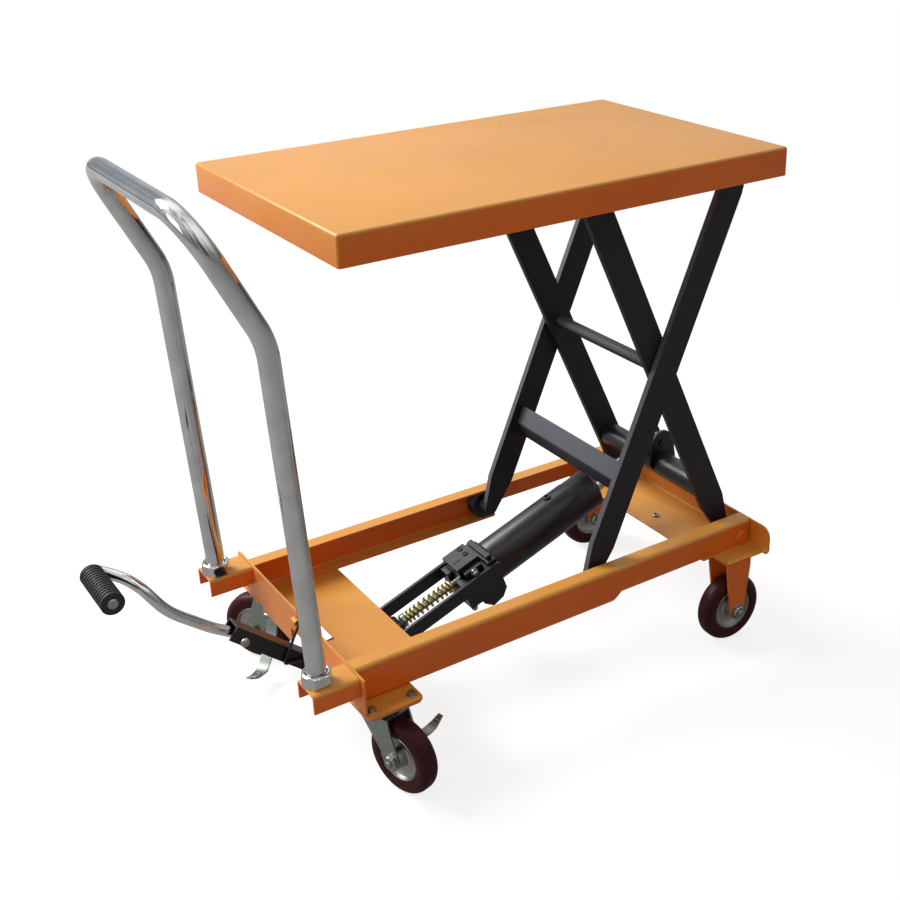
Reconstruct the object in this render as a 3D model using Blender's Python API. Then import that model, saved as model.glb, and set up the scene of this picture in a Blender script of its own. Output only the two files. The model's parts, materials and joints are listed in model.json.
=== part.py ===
"""Hand-pushed hydraulic scissor lift table, shown fully raised.

X runs along the table and points to the fixed wheels, Y points to the far side
and Z is up. Every size is in metres. The table is modelled round the middle of
its deck and then set down so that the origin is the centre of its footprint.
"""
import math

import bmesh
import bpy
from mathutils import Matrix, Vector

# --- Clearances
GAP = 0.0003            # between two pieces that touch
PIN_CLEARANCE = 0.0003  # round a pin in its hole
ROLLER_PLAY = 0.0005    # above a roller in its track
LEG_SPACING = 0.0020    # between an inner and an outer leg

# --- Deck
DECK_LENGTH = 0.815
DECK_WIDTH = 0.500
DECK_SHEET = 0.003
DECK_RIM = 0.048
DECK_CORNER = 0.005

# --- Chassis
CHASSIS_WIDTH = 0.416       # over the webs of the two rails
RAIL_SHEET = 0.004
RAIL_FLANGE = 0.030
RAIL_BEND = 0.006           # outside radius of the folds
RAIL_TOP = 0.226
RAIL_DEPTH = 0.064          # at the handle end, where the rollers run
RAIL_SLIM_DEPTH = 0.048     # at the fixed wheels
RAIL_STEP_START = 0.089
RAIL_STEP_END = 0.109
CHASSIS_BACK = -0.416
CHASSIS_FRONT = 0.415
PLATE_SHEET = 0.004
BACK_PLATE_WIDTH = 0.484
TRAY_LENGTH = 0.157
TRAY_SHEET = 0.003
PEDAL_NOTCH_WIDTH = 0.052
PEDAL_NOTCH_TOP = 0.180
PEDAL_NOTCH_LENGTH = 0.050
FRONT_PLATE_WIDTH = 0.516
FRONT_PLATE_SHELF = 0.119
FRONT_SHELF_WIDTH = 0.500
FRONT_CORNER = 0.020

# --- Scissor
PIVOT_X = 0.390
PIVOT_Z = 0.1938
RAISED_ANGLE = math.radians(66.0)
LOWERED_ANGLE = math.radians(11.5)
LEG_SPAN = 0.785            # between the pins at the two ends of a leg
LEG_WIDTH = 0.051
LEG_THICKNESS = 0.0115
LEG_END_RADIUS = 0.0135
LEG_TAPER = 0.065
INNER_LEG_FACE = 0.1435     # from the middle of the table to the inner leg
PIN_RADIUS = 0.008
COLLAR_RADIUS = 0.013
AXLE_HEAD = 0.005
LOWER_ROLLER_RADIUS = 0.0275
UPPER_ROLLER_RADIUS = 0.0185
ROLLER_WIDTH = 0.022
TRACK_FLANGE = 0.030
INNER_TUBE_SIZE = 0.045
INNER_TUBE_WALL = 0.003
INNER_TUBE_ALONG = 0.0970
CROSS_PLATE_ALONG = 0.180
CROSS_PLATE_UPPER = 0.034
CROSS_PLATE_LOWER = 0.027
CROSS_PLATE_BEND = math.radians(38.0)
CROSS_PLATE_OFFSET = 0.009
CROSS_PLATE_SHEET = 0.005

# --- Cylinder and pump, placed along the cylinder's axis from the rod's pin
ROD_PIN_ALONG = 0.137
ROD_PIN_RISE = 0.016
ROD_PIN_RADIUS = 0.0075
ROD_RADIUS = 0.016
LUG_RADIUS = 0.027
LUG_SHEET = 0.006
CYLINDER_SLOPE = math.radians(19.8)
BARREL_RADIUS = 0.039
BARREL_FRONT = 0.164
BARREL_LENGTH = 0.244
GLAND_RADIUS = 0.024
GLAND_LENGTH = 0.006
ROD_ENGAGEMENT = 0.045      # rod left in the barrel at full height
BLOCK_LENGTH = 0.078
BLOCK_WIDTH = 0.080
BLOCK_LOW = 0.034
BLOCK_SHOULDER = 0.0265
BLOCK_TOP = 0.0455
ARM_SHEET = 0.006
ARM_HEIGHT = 0.027
ARM_TOP = 0.0262            # above the cylinder's axis
FOOT = Vector((-0.300, 0.0, 0.097))
FOOT_PIN_RADIUS = 0.006
FOOT_EYE_RADIUS = 0.016
FOOT_EYE_WALL = 0.008
FOOT_SLOT_PLAY = 0.0015      # round the pin in the slotted eye
FOOT_PLATE_LENGTH = 0.048
FOOT_PLATE_WIDTH = 0.028
FOOT_BRACKET_SHEET = 0.005
PLUNGER_OFFSET = 0.0085     # above the cylinder's axis
PLUNGER_RADIUS = 0.006
PLUNGER_STROKE = 0.0076
CAP_RADIUS = 0.0125
CAP_THICKNESS = 0.008
SPRING_LENGTH = 0.1075
SPRING_RADIUS = 0.0095
SPRING_WIRE = 0.0017
SPRING_TURNS = 9

# --- Pedal
PEDAL_PIVOT = Vector((-0.266, 0.0, 0.134))
PEDAL_KNEE = Vector((-0.398, 0.0, 0.118))
PEDAL_SOCKET = Vector((-0.522, 0.0, 0.2275))
CHANNEL_WIDTH = 0.035
CHANNEL_DEPTH = 0.026
CHANNEL_SHEET = 0.003
PUSHER_RADIUS = 0.010
PUSHER_PLAY = 0.0009
PEDAL_PIN_RADIUS = 0.005
BAR_RADIUS = 0.008
GRIP_CENTRE = Vector((-0.717, 0.0, 0.378))
GRIP_LENGTH = 0.100
GRIP_RADIUS = 0.019
GRIP_RIBS = 9
HOOK_RADIUS = 0.0025
HOOK_TOP_Z = 0.213
HOOK_EYE_WALL = 0.0025
HOOK_EYE_LENGTH = 0.016
HOOK_BEND = 0.004
HOOK_SIDE_PLAY = 0.0015      # beside the pedal's channel

# --- Push handle
TUBE_RADIUS = 0.016
HANDLE_HALF_WIDTH = 0.200
HANDLE_X = -0.473
HANDLE_KNEE = (-0.500, 0.780)
HANDLE_TOP = (-0.600, 0.985)
HANDLE_CORNER = 0.055
NUT_RADIUS = 0.0185
NUT_HEIGHT = 0.020
BRACKET_WIDTH = 0.057
BRACKET_LENGTH = 0.079
BRACKET_DEPTH = 0.033
BRACKET_OFFSET = 0.0035

# --- Wheels
WHEEL_RADIUS = 0.065
WHEEL_WIDTH = 0.035
TREAD = 0.020
HUB_LENGTH = 0.042
HUB_RADIUS = 0.014
AXLE_RADIUS = 0.006
AXLE_NUT_RADIUS = 0.011
FRONT_WHEEL_X = 0.352
FRONT_WHEEL_Y = 0.220
FRONT_FORK_LENGTH = 0.056
FORK_SHEET = 0.004
CASTER_X = -0.367
CASTER_Y = 0.207
CASTER_TRAIL = 0.040
CASTER_SHEET = 0.003
CASTER_HEAD_LENGTH = 0.096
CASTER_HEAD_WIDTH = 0.084
PAD_LENGTH = 0.100
PAD_INNER = 0.052           # from the swivel's axis toward the middle
PAD_OUTER = 0.045
SKIRT_DEPTH = 0.012
RACE_RADIUS = 0.029
RACE_HEIGHT = 0.013
CROWN_CLEARANCE = 0.005     # between the tread and the crown
NEAR_CASTER_YAW = math.radians(-75.0)
FAR_CASTER_YAW = math.radians(127.0)
BRAKE_REACH = 0.128
BRAKE_WIDTH = 0.030

WHEEL_STEPS = 30
ROUND_STEPS = 20
PIN_STEPS = 16
SMALL_STEPS = 12
BEND_STEPS = 3

# --- Sizes that follow from the ones above
RAIL_FACE = CHASSIS_WIDTH / 2
RAIL_LIP = RAIL_FACE - RAIL_FLANGE
RAIL_BOTTOM = RAIL_TOP - RAIL_DEPTH
RAIL_SLIM_BOTTOM = RAIL_TOP - RAIL_SLIM_DEPTH
OUTER_LEG_FACE = INNER_LEG_FACE + LEG_THICKNESS + LEG_SPACING
ROLLER_INNER = RAIL_FACE - RAIL_SHEET - ROLLER_WIDTH - 0.0015
UPPER_PIVOT_Z = PIVOT_Z + LEG_SPAN * math.sin(RAISED_ANGLE)
LIFT_TRAVEL = RAISED_ANGLE - LOWERED_ANGLE
DECK_UNDERSIDE = UPPER_PIVOT_Z + UPPER_ROLLER_RADIUS + ROLLER_PLAY
DECK_TOP = DECK_UNDERSIDE + DECK_SHEET
ARM_INNER = BLOCK_WIDTH / 2
CROWN_TOP = 2 * WHEEL_RADIUS + CROWN_CLEARANCE + FORK_SHEET
CASTER_HEAD_TOP = CROWN_TOP + GAP + RACE_HEIGHT + FORK_SHEET


# --- Outlines

def arc(centre, radius, start, end, steps=ROUND_STEPS):
    """Points of an arc, both ends included, angles in radians."""
    span = end - start
    return [(centre[0] + radius * math.cos(start + span * i / steps),
             centre[1] + radius * math.sin(start + span * i / steps))
            for i in range(steps + 1)]


def circle(centre, radius, steps=ROUND_STEPS):
    """Points of a full circle."""
    return arc(centre, radius, 0.0, math.tau, steps)[:-1]


def hull(points):
    """Convex outline round a set of points, counter-clockwise."""
    ordered = sorted(set((round(x, 7), round(y, 7)) for x, y in points))

    def half(sequence):
        chain = []
        for point in sequence:
            while len(chain) > 1:
                ax, ay = chain[-2]
                bx, by = chain[-1]
                turn = (bx - ax) * (point[1] - ay) - (by - ay) * (point[0] - ax)
                if turn > 1e-12:
                    break
                chain.pop()
            chain.append(point)
        return chain[:-1]

    return half(ordered) + half(ordered[::-1])


def rectangle(x0, x1, y0, y1):
    """Corners of a rectangle."""
    return [(x0, y0), (x1, y0), (x1, y1), (x0, y1)]


def rounded(points, radius, steps=BEND_STEPS, closed=False):
    """A line or an outline with its corners replaced by arcs, in 2-D or 3-D."""
    points = [Vector(p).to_3d() for p in points]
    count = len(points)
    result = []
    for i, corner in enumerate(points):
        if not closed and i in (0, count - 1):
            result.append(corner)
            continue
        before = (points[i - 1] - corner).normalized()
        after = (points[(i + 1) % count] - corner).normalized()
        half_angle = before.angle(after) / 2
        if math.pi / 2 - half_angle < 1e-4:
            result.append(corner)
            continue
        middle = corner + (before + after).normalized() * radius / math.sin(half_angle)
        reach = radius / math.tan(half_angle)
        first = (corner + before * reach - middle).normalized()
        last = (corner + after * reach - middle).normalized()
        for step in range(steps + 1):
            result.append(middle + first.slerp(last, step / steps) * radius)
    return result


def flat(points):
    """The first two coordinates of each point."""
    return [(p[0], p[1]) for p in points]


def folded(points, sheet, radius):
    """Outline of a folded sheet: a line of one face, thickened to its left."""
    face = [Vector(p) for p in flat(rounded(points, radius))]
    back = []
    for i, point in enumerate(face):
        ahead = face[min(i + 1, len(face) - 1)] - point
        behind = point - face[max(i - 1, 0)]
        sides = [Vector((-d.y, d.x)).normalized() for d in (ahead, behind) if d.length > 0]
        normal = sum(sides, Vector((0.0, 0.0))).normalized()
        back.append(point + normal * sheet / normal.dot(sides[0]))
    return [tuple(p) for p in face + back[::-1]]


def bar(start, end, width, end_radius, taper):
    """Outline of a flat bar along X with tapered, rounded ends."""
    half = width / 2
    outline = arc((end, 0.0), end_radius, -math.pi / 2, math.pi / 2, 8)
    outline += [(end - taper, half), (start + taper, half)]
    outline += arc((start, 0.0), end_radius, math.pi / 2, 3 * math.pi / 2, 8)
    return outline + [(start + taper, -half), (end - taper, -half)]


# --- Solids

def mesh_object(name, form):
    """An object in the scene from a finished bmesh."""
    bmesh.ops.remove_doubles(form, verts=form.verts, dist=1e-7)
    bmesh.ops.recalc_face_normals(form, faces=form.faces)
    mesh = bpy.data.meshes.new(name)
    form.to_mesh(mesh)
    form.free()
    item = bpy.data.objects.new(name, mesh)
    bpy.context.scene.collection.objects.link(item)
    return item


AXIS_MAPS = {
    "X": lambda u, v, w: (w, u, v),
    "Y": lambda u, v, w: (u, w, v),
    "Z": lambda u, v, w: (u, v, w),
}


def prism(name, outline, low, high, axis="Z", holes=()):
    """An outline, with its holes, pushed from low to high along an axis."""
    form = bmesh.new()
    place = AXIS_MAPS[axis]
    for loop in [outline, *holes]:
        verts = [form.verts.new(place(u, v, low)) for u, v in flat(loop)]
        for first, second in zip(verts, verts[1:] + verts[:1]):
            form.edges.new((first, second))
    if holes:
        bmesh.ops.triangle_fill(form, use_beauty=True, edges=form.edges)
    else:
        form.faces.new(form.verts)
    pushed = bmesh.ops.extrude_face_region(form, geom=form.faces[:])["geom"]
    shift = Vector(place(0.0, 0.0, high - low))
    moved = [g for g in pushed if isinstance(g, bmesh.types.BMVert)]
    bmesh.ops.translate(form, verts=moved, vec=shift)
    return mesh_object(name, form)


def turned(name, profile, axis="Y", centre=(0.0, 0.0, 0.0), steps=ROUND_STEPS, ring=False):
    """A profile of (along, radius) points turned round an axis through a point."""
    form = bmesh.new()
    place = AXIS_MAPS[axis]
    verts = [form.verts.new(Vector(place(radius, 0.0, along))) for along, radius in profile]
    pairs = list(zip(verts, verts[1:]))
    if ring:
        pairs.append((verts[-1], verts[0]))
    edges = [form.edges.new(pair) for pair in pairs]
    bmesh.ops.spin(form, geom=verts + edges, cent=(0, 0, 0), axis=place(0.0, 0.0, 1.0),
                   angle=math.tau, steps=steps, use_merge=True)
    bmesh.ops.translate(form, verts=form.verts, vec=Vector(centre))
    return smooth(mesh_object(name, form))


def rod(name, stations, axis="Y", centre=(0.0, 0.0, 0.0), steps=ROUND_STEPS):
    """A solid turned shaft: (along, radius) stations closed at both ends."""
    profile = [(stations[0][0], 0.0), *stations, (stations[-1][0], 0.0)]
    return turned(name, profile, axis, centre, steps)


def plain_rod(name, low, high, radius, axis="Y", centre=(0.0, 0.0, 0.0), steps=ROUND_STEPS):
    """A plain round bar."""
    return rod(name, [(low, radius), (high, radius)], axis, centre, steps)


def swept(name, path, radius, sides=16):
    """A round bar that follows a path, with flat ends."""
    line = bpy.data.curves.new(name, "CURVE")
    line.dimensions = "3D"
    line.bevel_depth = radius
    line.bevel_resolution = sides // 4 - 1
    line.use_fill_caps = True
    spline = line.splines.new("POLY")
    spline.points.add(len(path) - 1)
    for point, place in zip(spline.points, path):
        point.co = (*place, 1.0)
    guide = bpy.data.objects.new(name, line)
    bpy.context.scene.collection.objects.link(guide)
    item = bpy.data.objects.new(name, baked_mesh(guide))
    bpy.data.objects.remove(guide)
    bpy.context.scene.collection.objects.link(item)
    item.name = name
    return smooth(welded(item))


def welded(item):
    """Join the ends' caps to the walls of a swept bar."""
    form = bmesh.new()
    form.from_mesh(item.data)
    bmesh.ops.remove_doubles(form, verts=form.verts, dist=1e-6)
    bmesh.ops.recalc_face_normals(form, faces=form.faces)
    form.to_mesh(item.data)
    form.free()
    return item


def smooth(item, angle=math.radians(35.0)):
    """Shade an item smooth except at its sharp edges."""
    item.data.shade_smooth()
    item.data.set_sharp_from_angle(angle=angle)
    return item


def baked_mesh(item):
    """The mesh that an object has once its modifiers are worked out."""
    graph = bpy.context.evaluated_depsgraph_get()
    return bpy.data.meshes.new_from_object(item.evaluated_get(graph), depsgraph=graph)


def bake(item):
    """Keep the result of an object's modifiers as its mesh."""
    mesh = baked_mesh(item)
    item.modifiers.clear()
    item.data = mesh
    return item


def combine(item, tools, operation):
    """Join tools to an item, or cut them out of it."""
    for tool in tools:
        step = item.modifiers.new(tool.name, "BOOLEAN")
        step.object = tool
        step.operation = operation
        step.solver = "EXACT"
    bake(item)
    for tool in tools:
        bpy.data.objects.remove(tool)
    return item


def joined(item, *tools):
    """One body from several overlapping ones."""
    return combine(item, tools, "UNION")


def cut(item, *tools):
    """An item less its cutters."""
    return combine(item, tools, "DIFFERENCE")


def bevelled(item, width, segments=2, angle=math.radians(40.0)):
    """Round the sharp edges of an item."""
    step = item.modifiers.new("edges", "BEVEL")
    step.width = width
    step.segments = segments
    step.limit_method = "ANGLE"
    step.angle_limit = angle
    return bake(item)


# --- Scene tree and materials

def material(name, colour, roughness, metallic=0.0):
    """A Principled material."""
    look = bpy.data.materials.new(name)
    look.use_nodes = True
    shader = look.node_tree.nodes["Principled BSDF"]
    shader.inputs["Base Color"].default_value = (*colour, 1.0)
    shader.inputs["Roughness"].default_value = roughness
    shader.inputs["Metallic"].default_value = metallic
    return look


def make_materials():
    """Every finish on the table."""
    return {
        "orange": material("orange_paint", (0.80, 0.24, 0.035), 0.42),
        "charcoal": material("charcoal_paint", (0.030, 0.028, 0.030), 0.45),
        "black": material("black_paint", (0.012, 0.012, 0.013), 0.28),
        "chrome": material("chrome", (0.78, 0.78, 0.78), 0.10, 1.0),
        "zinc": material("zinc", (0.50, 0.51, 0.49), 0.35, 1.0),
        "yellow_zinc": material("yellow_zinc", (0.62, 0.55, 0.25), 0.30, 1.0),
        "tread": material("maroon_tread", (0.090, 0.018, 0.018), 0.40),
        "core": material("wheel_core", (0.30, 0.31, 0.30), 0.50),
        "rubber": material("black_rubber", (0.015, 0.015, 0.016), 0.70),
    }


def pivot(name, parent, place, turn=(0.0, 0.0, 0.0)):
    """An empty on a joint's axis, placed in its parent's frame."""
    empty = bpy.data.objects.new(name, None)
    empty.empty_display_size = 0.05
    bpy.context.scene.collection.objects.link(empty)
    empty.parent = parent
    empty.location = place
    empty.rotation_euler = turn
    return empty


def fit(item, name, parent, look, place=(0.0, 0.0, 0.0)):
    """Name an item and hang it on its body."""
    item.name = name
    item.data.name = name
    item.data.materials.clear()
    item.data.materials.append(look)
    item.parent = parent
    item.location = place
    return item


def sides():
    """The near and the far side, with the sign of their Y."""
    return (("near", -1), ("far", 1))


def mirrored(points, side):
    """An outline in Y and Z, or a run along Y, put on one side."""
    return [(side * p[0], *p[1:]) for p in points]


def spread(low, high, side):
    """Two distances from the middle, ordered along Y on one side."""
    return (low, high) if side > 0 else (-high, -low)


# --- Chassis

def build_rail(side):
    """C-channel that opens inward, deep where the rollers run."""
    face = [(RAIL_LIP, RAIL_BOTTOM), (RAIL_FACE, RAIL_BOTTOM),
            (RAIL_FACE, RAIL_TOP), (RAIL_LIP, RAIL_TOP)]
    outline = mirrored(folded(face, RAIL_SHEET, RAIL_BEND), side)
    back = CHASSIS_BACK + PLATE_SHEET + GAP
    front = CHASSIS_FRONT - RAIL_BEND - GAP
    rail = prism("rail", outline, back, front, "X")
    below = RAIL_BOTTOM - RAIL_SHEET
    step = [(RAIL_STEP_START, below), (front + RAIL_SHEET, below),
            (front + RAIL_SHEET, RAIL_SLIM_BOTTOM), (RAIL_STEP_END, RAIL_SLIM_BOTTOM),
            (RAIL_STEP_START, RAIL_BOTTOM)]
    reach = RAIL_FACE + RAIL_SHEET
    hole = circle((PIVOT_X, PIVOT_Z), PIN_RADIUS + PIN_CLEARANCE)
    return cut(rail, prism("step", step, -reach, reach, "Y"),
               prism("hole", hole, -reach, reach, "Y"))


def build_back_plate():
    """Upright plate across the handle end, notched for the pedal."""
    half = BACK_PLATE_WIDTH / 2
    notch = PEDAL_NOTCH_WIDTH / 2
    low = RAIL_BOTTOM
    skirt = low - SKIRT_DEPTH
    middle = CASTER_Y - PAD_INNER - SKIRT_DEPTH - 0.002
    outline = [(-half, low), (-middle - SKIRT_DEPTH, low), (-middle, skirt), (-notch, skirt),
               (-notch, PEDAL_NOTCH_TOP), (notch, PEDAL_NOTCH_TOP), (notch, skirt),
               (middle, skirt), (middle + SKIRT_DEPTH, low), (half, low),
               (half, RAIL_TOP), (-half, RAIL_TOP)]
    outline = rounded(outline, 0.003, 2, closed=True)
    plate = prism("plate", outline, CHASSIS_BACK, CHASSIS_BACK + PLATE_SHEET, "X")
    place = hook_pivot()
    bore = HOOK_RADIUS + 2 * PIN_CLEARANCE
    start = place.y + HOOK_BEND + 2 * GAP
    end = start + HOOK_EYE_LENGTH
    eye = plain_rod("eye", start, end, bore + HOOK_EYE_WALL, centre=(place.x, 0.0, place.z),
                    steps=SMALL_STEPS)
    hole = plain_rod("hole", start - GAP, end + GAP, bore, centre=(place.x, 0.0, place.z),
                     steps=SMALL_STEPS)
    return cut(joined(plate, eye), hole)


def build_tray():
    """Floor plate between the rails behind the back plate."""
    half = RAIL_LIP - GAP
    back = CHASSIS_BACK + PLATE_SHEET + GAP
    notch = PEDAL_NOTCH_WIDTH / 2
    end = back + PEDAL_NOTCH_LENGTH
    outline = [(back, -half), (back + TRAY_LENGTH, -half), (back + TRAY_LENGTH, half),
               (back, half), (back, notch), (end, notch), (end, -notch), (back, -notch)]
    return prism("tray", outline, RAIL_BOTTOM, RAIL_BOTTOM + TRAY_SHEET)


def build_front_plate():
    """Angle across the fixed wheels: an upright face and a shelf under the rails."""
    top = RAIL_TOP - 0.002
    shelf_top = RAIL_SLIM_BOTTOM - GAP
    shelf_low = shelf_top - PLATE_SHEET
    inner = CHASSIS_FRONT - PLATE_SHEET
    half = FRONT_PLATE_WIDTH / 2
    section = folded([(CHASSIS_FRONT - FRONT_PLATE_SHELF, shelf_low),
                      (CHASSIS_FRONT, shelf_low), (CHASSIS_FRONT, top)],
                     PLATE_SHEET, RAIL_BEND)
    angle = prism("angle", section, -half, half, "Y")
    corner = rounded([(half, shelf_low), (half, top), (half - FRONT_CORNER, top)],
                     FRONT_CORNER - 0.0005, 6)
    reach = half + 0.01
    cutters = []
    for name, side in sides():
        shape = [(side * p[0], p[1]) for p in corner]
        shape += [(side * (half - FRONT_CORNER), top + 0.01), (side * reach, top + 0.01),
                  (side * reach, shelf_low)]
        cutters.append(prism("corner", shape, inner - RAIL_BEND, CHASSIS_FRONT + 0.01, "X"))
        ear = FRONT_SHELF_WIDTH / 2
        notch = [(CHASSIS_FRONT - FRONT_PLATE_SHELF - 0.01, side * (RAIL_FACE + 0.002)),
                 (FRONT_WHEEL_X - FRONT_FORK_LENGTH / 2 - 0.004, side * (RAIL_FACE + 0.002)),
                 (FRONT_WHEEL_X - FRONT_FORK_LENGTH / 2, side * ear),
                 (inner - 0.006, side * ear), (inner - 0.006, side * reach),
                 (CHASSIS_FRONT - FRONT_PLATE_SHELF - 0.01, side * reach)]
        cutters.append(prism("notch", notch, shelf_low - 0.01, shelf_top + 0.002))
    return cut(angle, *cutters)


def build_caster_pad(side):
    """Flat pad under a rail's end that takes the caster's head."""
    low, high = spread(CASTER_Y - PAD_INNER, CASTER_Y + PAD_OUTER, side)
    reach = PAD_LENGTH / 2
    outline = rounded(rectangle(CASTER_X - reach, CASTER_X + reach, low, high), 0.010,
                      closed=True)
    top = RAIL_BOTTOM - GAP
    return prism("pad", outline, CASTER_HEAD_TOP + GAP, top)


def build_handle_bracket(side):
    """Inverted channel that stands out from the back plate and carries the tube."""
    middle = HANDLE_HALF_WIDTH + BRACKET_OFFSET
    top = RAIL_TOP - 0.001
    face = [(middle + BRACKET_WIDTH / 2, top - BRACKET_DEPTH),
            (middle + BRACKET_WIDTH / 2, top), (middle - BRACKET_WIDTH / 2, top),
            (middle - BRACKET_WIDTH / 2, top - BRACKET_DEPTH)]
    outline = mirrored(folded(face, PLATE_SHEET, RAIL_BEND), side)
    back = CHASSIS_BACK - GAP
    return prism("bracket", outline, back - BRACKET_LENGTH, back, "X")


def build_handle():
    """Push handle: one bent tube with both feet on the brackets."""
    foot = RAIL_TOP - 0.001 + GAP + NUT_HEIGHT + GAP
    half = HANDLE_HALF_WIDTH
    knee = Vector((HANDLE_KNEE[0], half, HANDLE_KNEE[1]))
    top = Vector((HANDLE_TOP[0], half, HANDLE_TOP[1]))
    upright = TUBE_RADIUS
    far_side = [Vector((HANDLE_X, half, foot)), Vector((HANDLE_X, half, foot + upright)),
                knee, top]
    near_side = [Vector((p.x, -half, p.z)) for p in far_side]
    path = rounded(far_side + near_side[::-1], HANDLE_CORNER, 7)
    return swept("handle", path, TUBE_RADIUS)


def build_nut(side):
    """Hexagonal nut at the foot of the handle's tube."""
    low = RAIL_TOP - 0.001 + GAP
    outline = circle((HANDLE_X, side * HANDLE_HALF_WIDTH), NUT_RADIUS, 6)
    return bevelled(prism("nut", outline, low, low + NUT_HEIGHT), 0.0015, 1)


def build_foot_bracket(side):
    """Angle bracket under the tray with the stub pin that carries one pump arm."""
    inner = ARM_INNER + ARM_SHEET + 0.002
    outer = inner + FOOT_BRACKET_SHEET
    top = RAIL_BOTTOM - GAP
    half = FOOT_PLATE_LENGTH / 2
    cheek = hull(circle((FOOT.x, FOOT.z), FOOT_EYE_RADIUS, PIN_STEPS)
                 + rectangle(FOOT.x - half, FOOT.x + half, top - 0.012, top))
    low, high = spread(inner, inner + FOOT_PLATE_WIDTH, side)
    plate = prism("plate", rectangle(FOOT.x - half, FOOT.x + half, low, high),
                  top - PLATE_SHEET, top)
    pin = plain_rod("pin", *spread(ARM_INNER - 0.003, outer + 0.003, side), FOOT_PIN_RADIUS,
                    centre=FOOT, steps=SMALL_STEPS)
    return joined(prism("cheek", cheek, *spread(inner, outer, side), "Y"), plate, pin)


def build_pivot_shaft(leg_face, end):
    """Shaft through both sides, thicker between a leg and the web beside it."""
    collar = leg_face + GAP
    web = RAIL_FACE - RAIL_SHEET - GAP
    half = [(end, PIN_RADIUS), (web, PIN_RADIUS), (web, COLLAR_RADIUS),
            (collar, COLLAR_RADIUS), (collar, PIN_RADIUS)]
    stations = [(-y, r) for y, r in half] + half[::-1]
    return rod("shaft", stations, steps=PIN_STEPS)


# --- Wheels

def build_tread():
    """Polyurethane tread with rounded shoulders, round the wheel's core."""
    half = WHEEL_WIDTH / 2
    inner = WHEEL_RADIUS - TREAD
    shoulder = 0.009
    crown = [(half - shoulder + shoulder * math.sin(math.radians(a)),
              WHEEL_RADIUS - shoulder + shoulder * math.cos(math.radians(a)))
             for a in (0, 45, 90)]
    profile = crown + [(half - 0.003, inner)]
    profile += [(-y, r) for y, r in profile[::-1]]
    return turned("tread", profile, "Y", steps=WHEEL_STEPS, ring=True)


def build_core():
    """Wheel's core: a rim, a dished web and a hub with its bore."""
    rim = WHEEL_RADIUS - TREAD - GAP
    half = WHEEL_WIDTH / 2 - 0.005
    side = [(half, rim), (half, rim - 0.005), (0.006, rim - 0.010), (0.006, HUB_RADIUS + 0.002),
            (HUB_LENGTH / 2, HUB_RADIUS), (HUB_LENGTH / 2, AXLE_RADIUS + PIN_CLEARANCE)]
    profile = side + [(-y, r) for y, r in side[::-1]]
    return turned("core", profile, "Y", ring=True)


def fork_axle(half_width, centre):
    """Bolt through a fork, with a head and a nut outside its legs."""
    nut = 0.007
    stations = [(-half_width - nut, AXLE_NUT_RADIUS), (-half_width + 0.001, AXLE_NUT_RADIUS),
                (-half_width + 0.001, AXLE_RADIUS), (half_width - 0.001, AXLE_RADIUS),
                (half_width - 0.001, AXLE_NUT_RADIUS), (half_width + nut, AXLE_NUT_RADIUS)]
    return rod("axle", stations, centre=centre, steps=SMALL_STEPS)


def build_wheel_fork(side):
    """Fixed fork under the front shelf, one bent plate with its axle."""
    half = HUB_LENGTH / 2 + 0.0015
    outer = half + FORK_SHEET
    top = RAIL_SLIM_BOTTOM - GAP - PLATE_SHEET - GAP
    middle = side * FRONT_WHEEL_Y
    reach = FRONT_FORK_LENGTH / 2
    cheek = hull(circle((FRONT_WHEEL_X, WHEEL_RADIUS), 0.016, PIN_STEPS)
                 + rectangle(FRONT_WHEEL_X - reach, FRONT_WHEEL_X + reach, top - 0.018, top))
    fork = prism("fork", rectangle(FRONT_WHEEL_X - reach, FRONT_WHEEL_X + reach,
                                   middle - outer, middle + outer), top - FORK_SHEET, top)
    cheeks = [prism("cheek", cheek, middle + low, middle + high, "Y")
              for low, high in ((-outer, -half), (half, outer))]
    axle = fork_axle(outer, (FRONT_WHEEL_X, middle, WHEEL_RADIUS))
    return joined(fork, *cheeks, axle)


def build_caster_head():
    """Caster's top plate with the race below it, round the swivel's axis."""
    half_x = CASTER_HEAD_LENGTH / 2
    half_y = CASTER_HEAD_WIDTH / 2
    plate_low = CASTER_HEAD_TOP - FORK_SHEET
    outline = rounded(rectangle(-half_x, half_x, -half_y, half_y), 0.008, closed=True)
    plate = prism("head", outline, plate_low, CASTER_HEAD_TOP)
    race_low = CROWN_TOP + GAP
    race = rod("race", [(race_low, RACE_RADIUS - 0.004), (race_low + 0.003, RACE_RADIUS),
                        (plate_low - 0.004, RACE_RADIUS), (plate_low + 0.001, RACE_RADIUS - 0.006)],
               "Z")
    return joined(plate, race)


def build_caster_fork():
    """Swivel fork: a crown, two raked legs and the axle, trailing along its X."""
    half = HUB_LENGTH / 2 + 0.0015
    outer = half + CASTER_SHEET
    crown_low = CROWN_TOP - FORK_SHEET
    cheek = hull(circle((CASTER_TRAIL, WHEEL_RADIUS), 0.015, PIN_STEPS)
                 + rectangle(-0.026, 0.030, crown_low - 0.012, CROWN_TOP))
    crown = prism("crown", hull(circle((0.0, 0.0), RACE_RADIUS)
                                + rectangle(-0.022, 0.030, -outer, outer)),
                  crown_low, CROWN_TOP)
    cheeks = [prism("cheek", cheek, low, high, "Y")
              for low, high in ((-outer, -half), (half, outer))]
    axle = fork_axle(outer, (CASTER_TRAIL, 0.0, WHEEL_RADIUS))
    return joined(crown, *cheeks, axle)


def brake_hinge():
    """Where the brake lever turns, beside the fork's leg."""
    barrel = 0.0045
    return Vector((-0.008, HUB_LENGTH / 2 + 0.0015 + CASTER_SHEET + GAP + barrel, 0.108))


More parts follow.
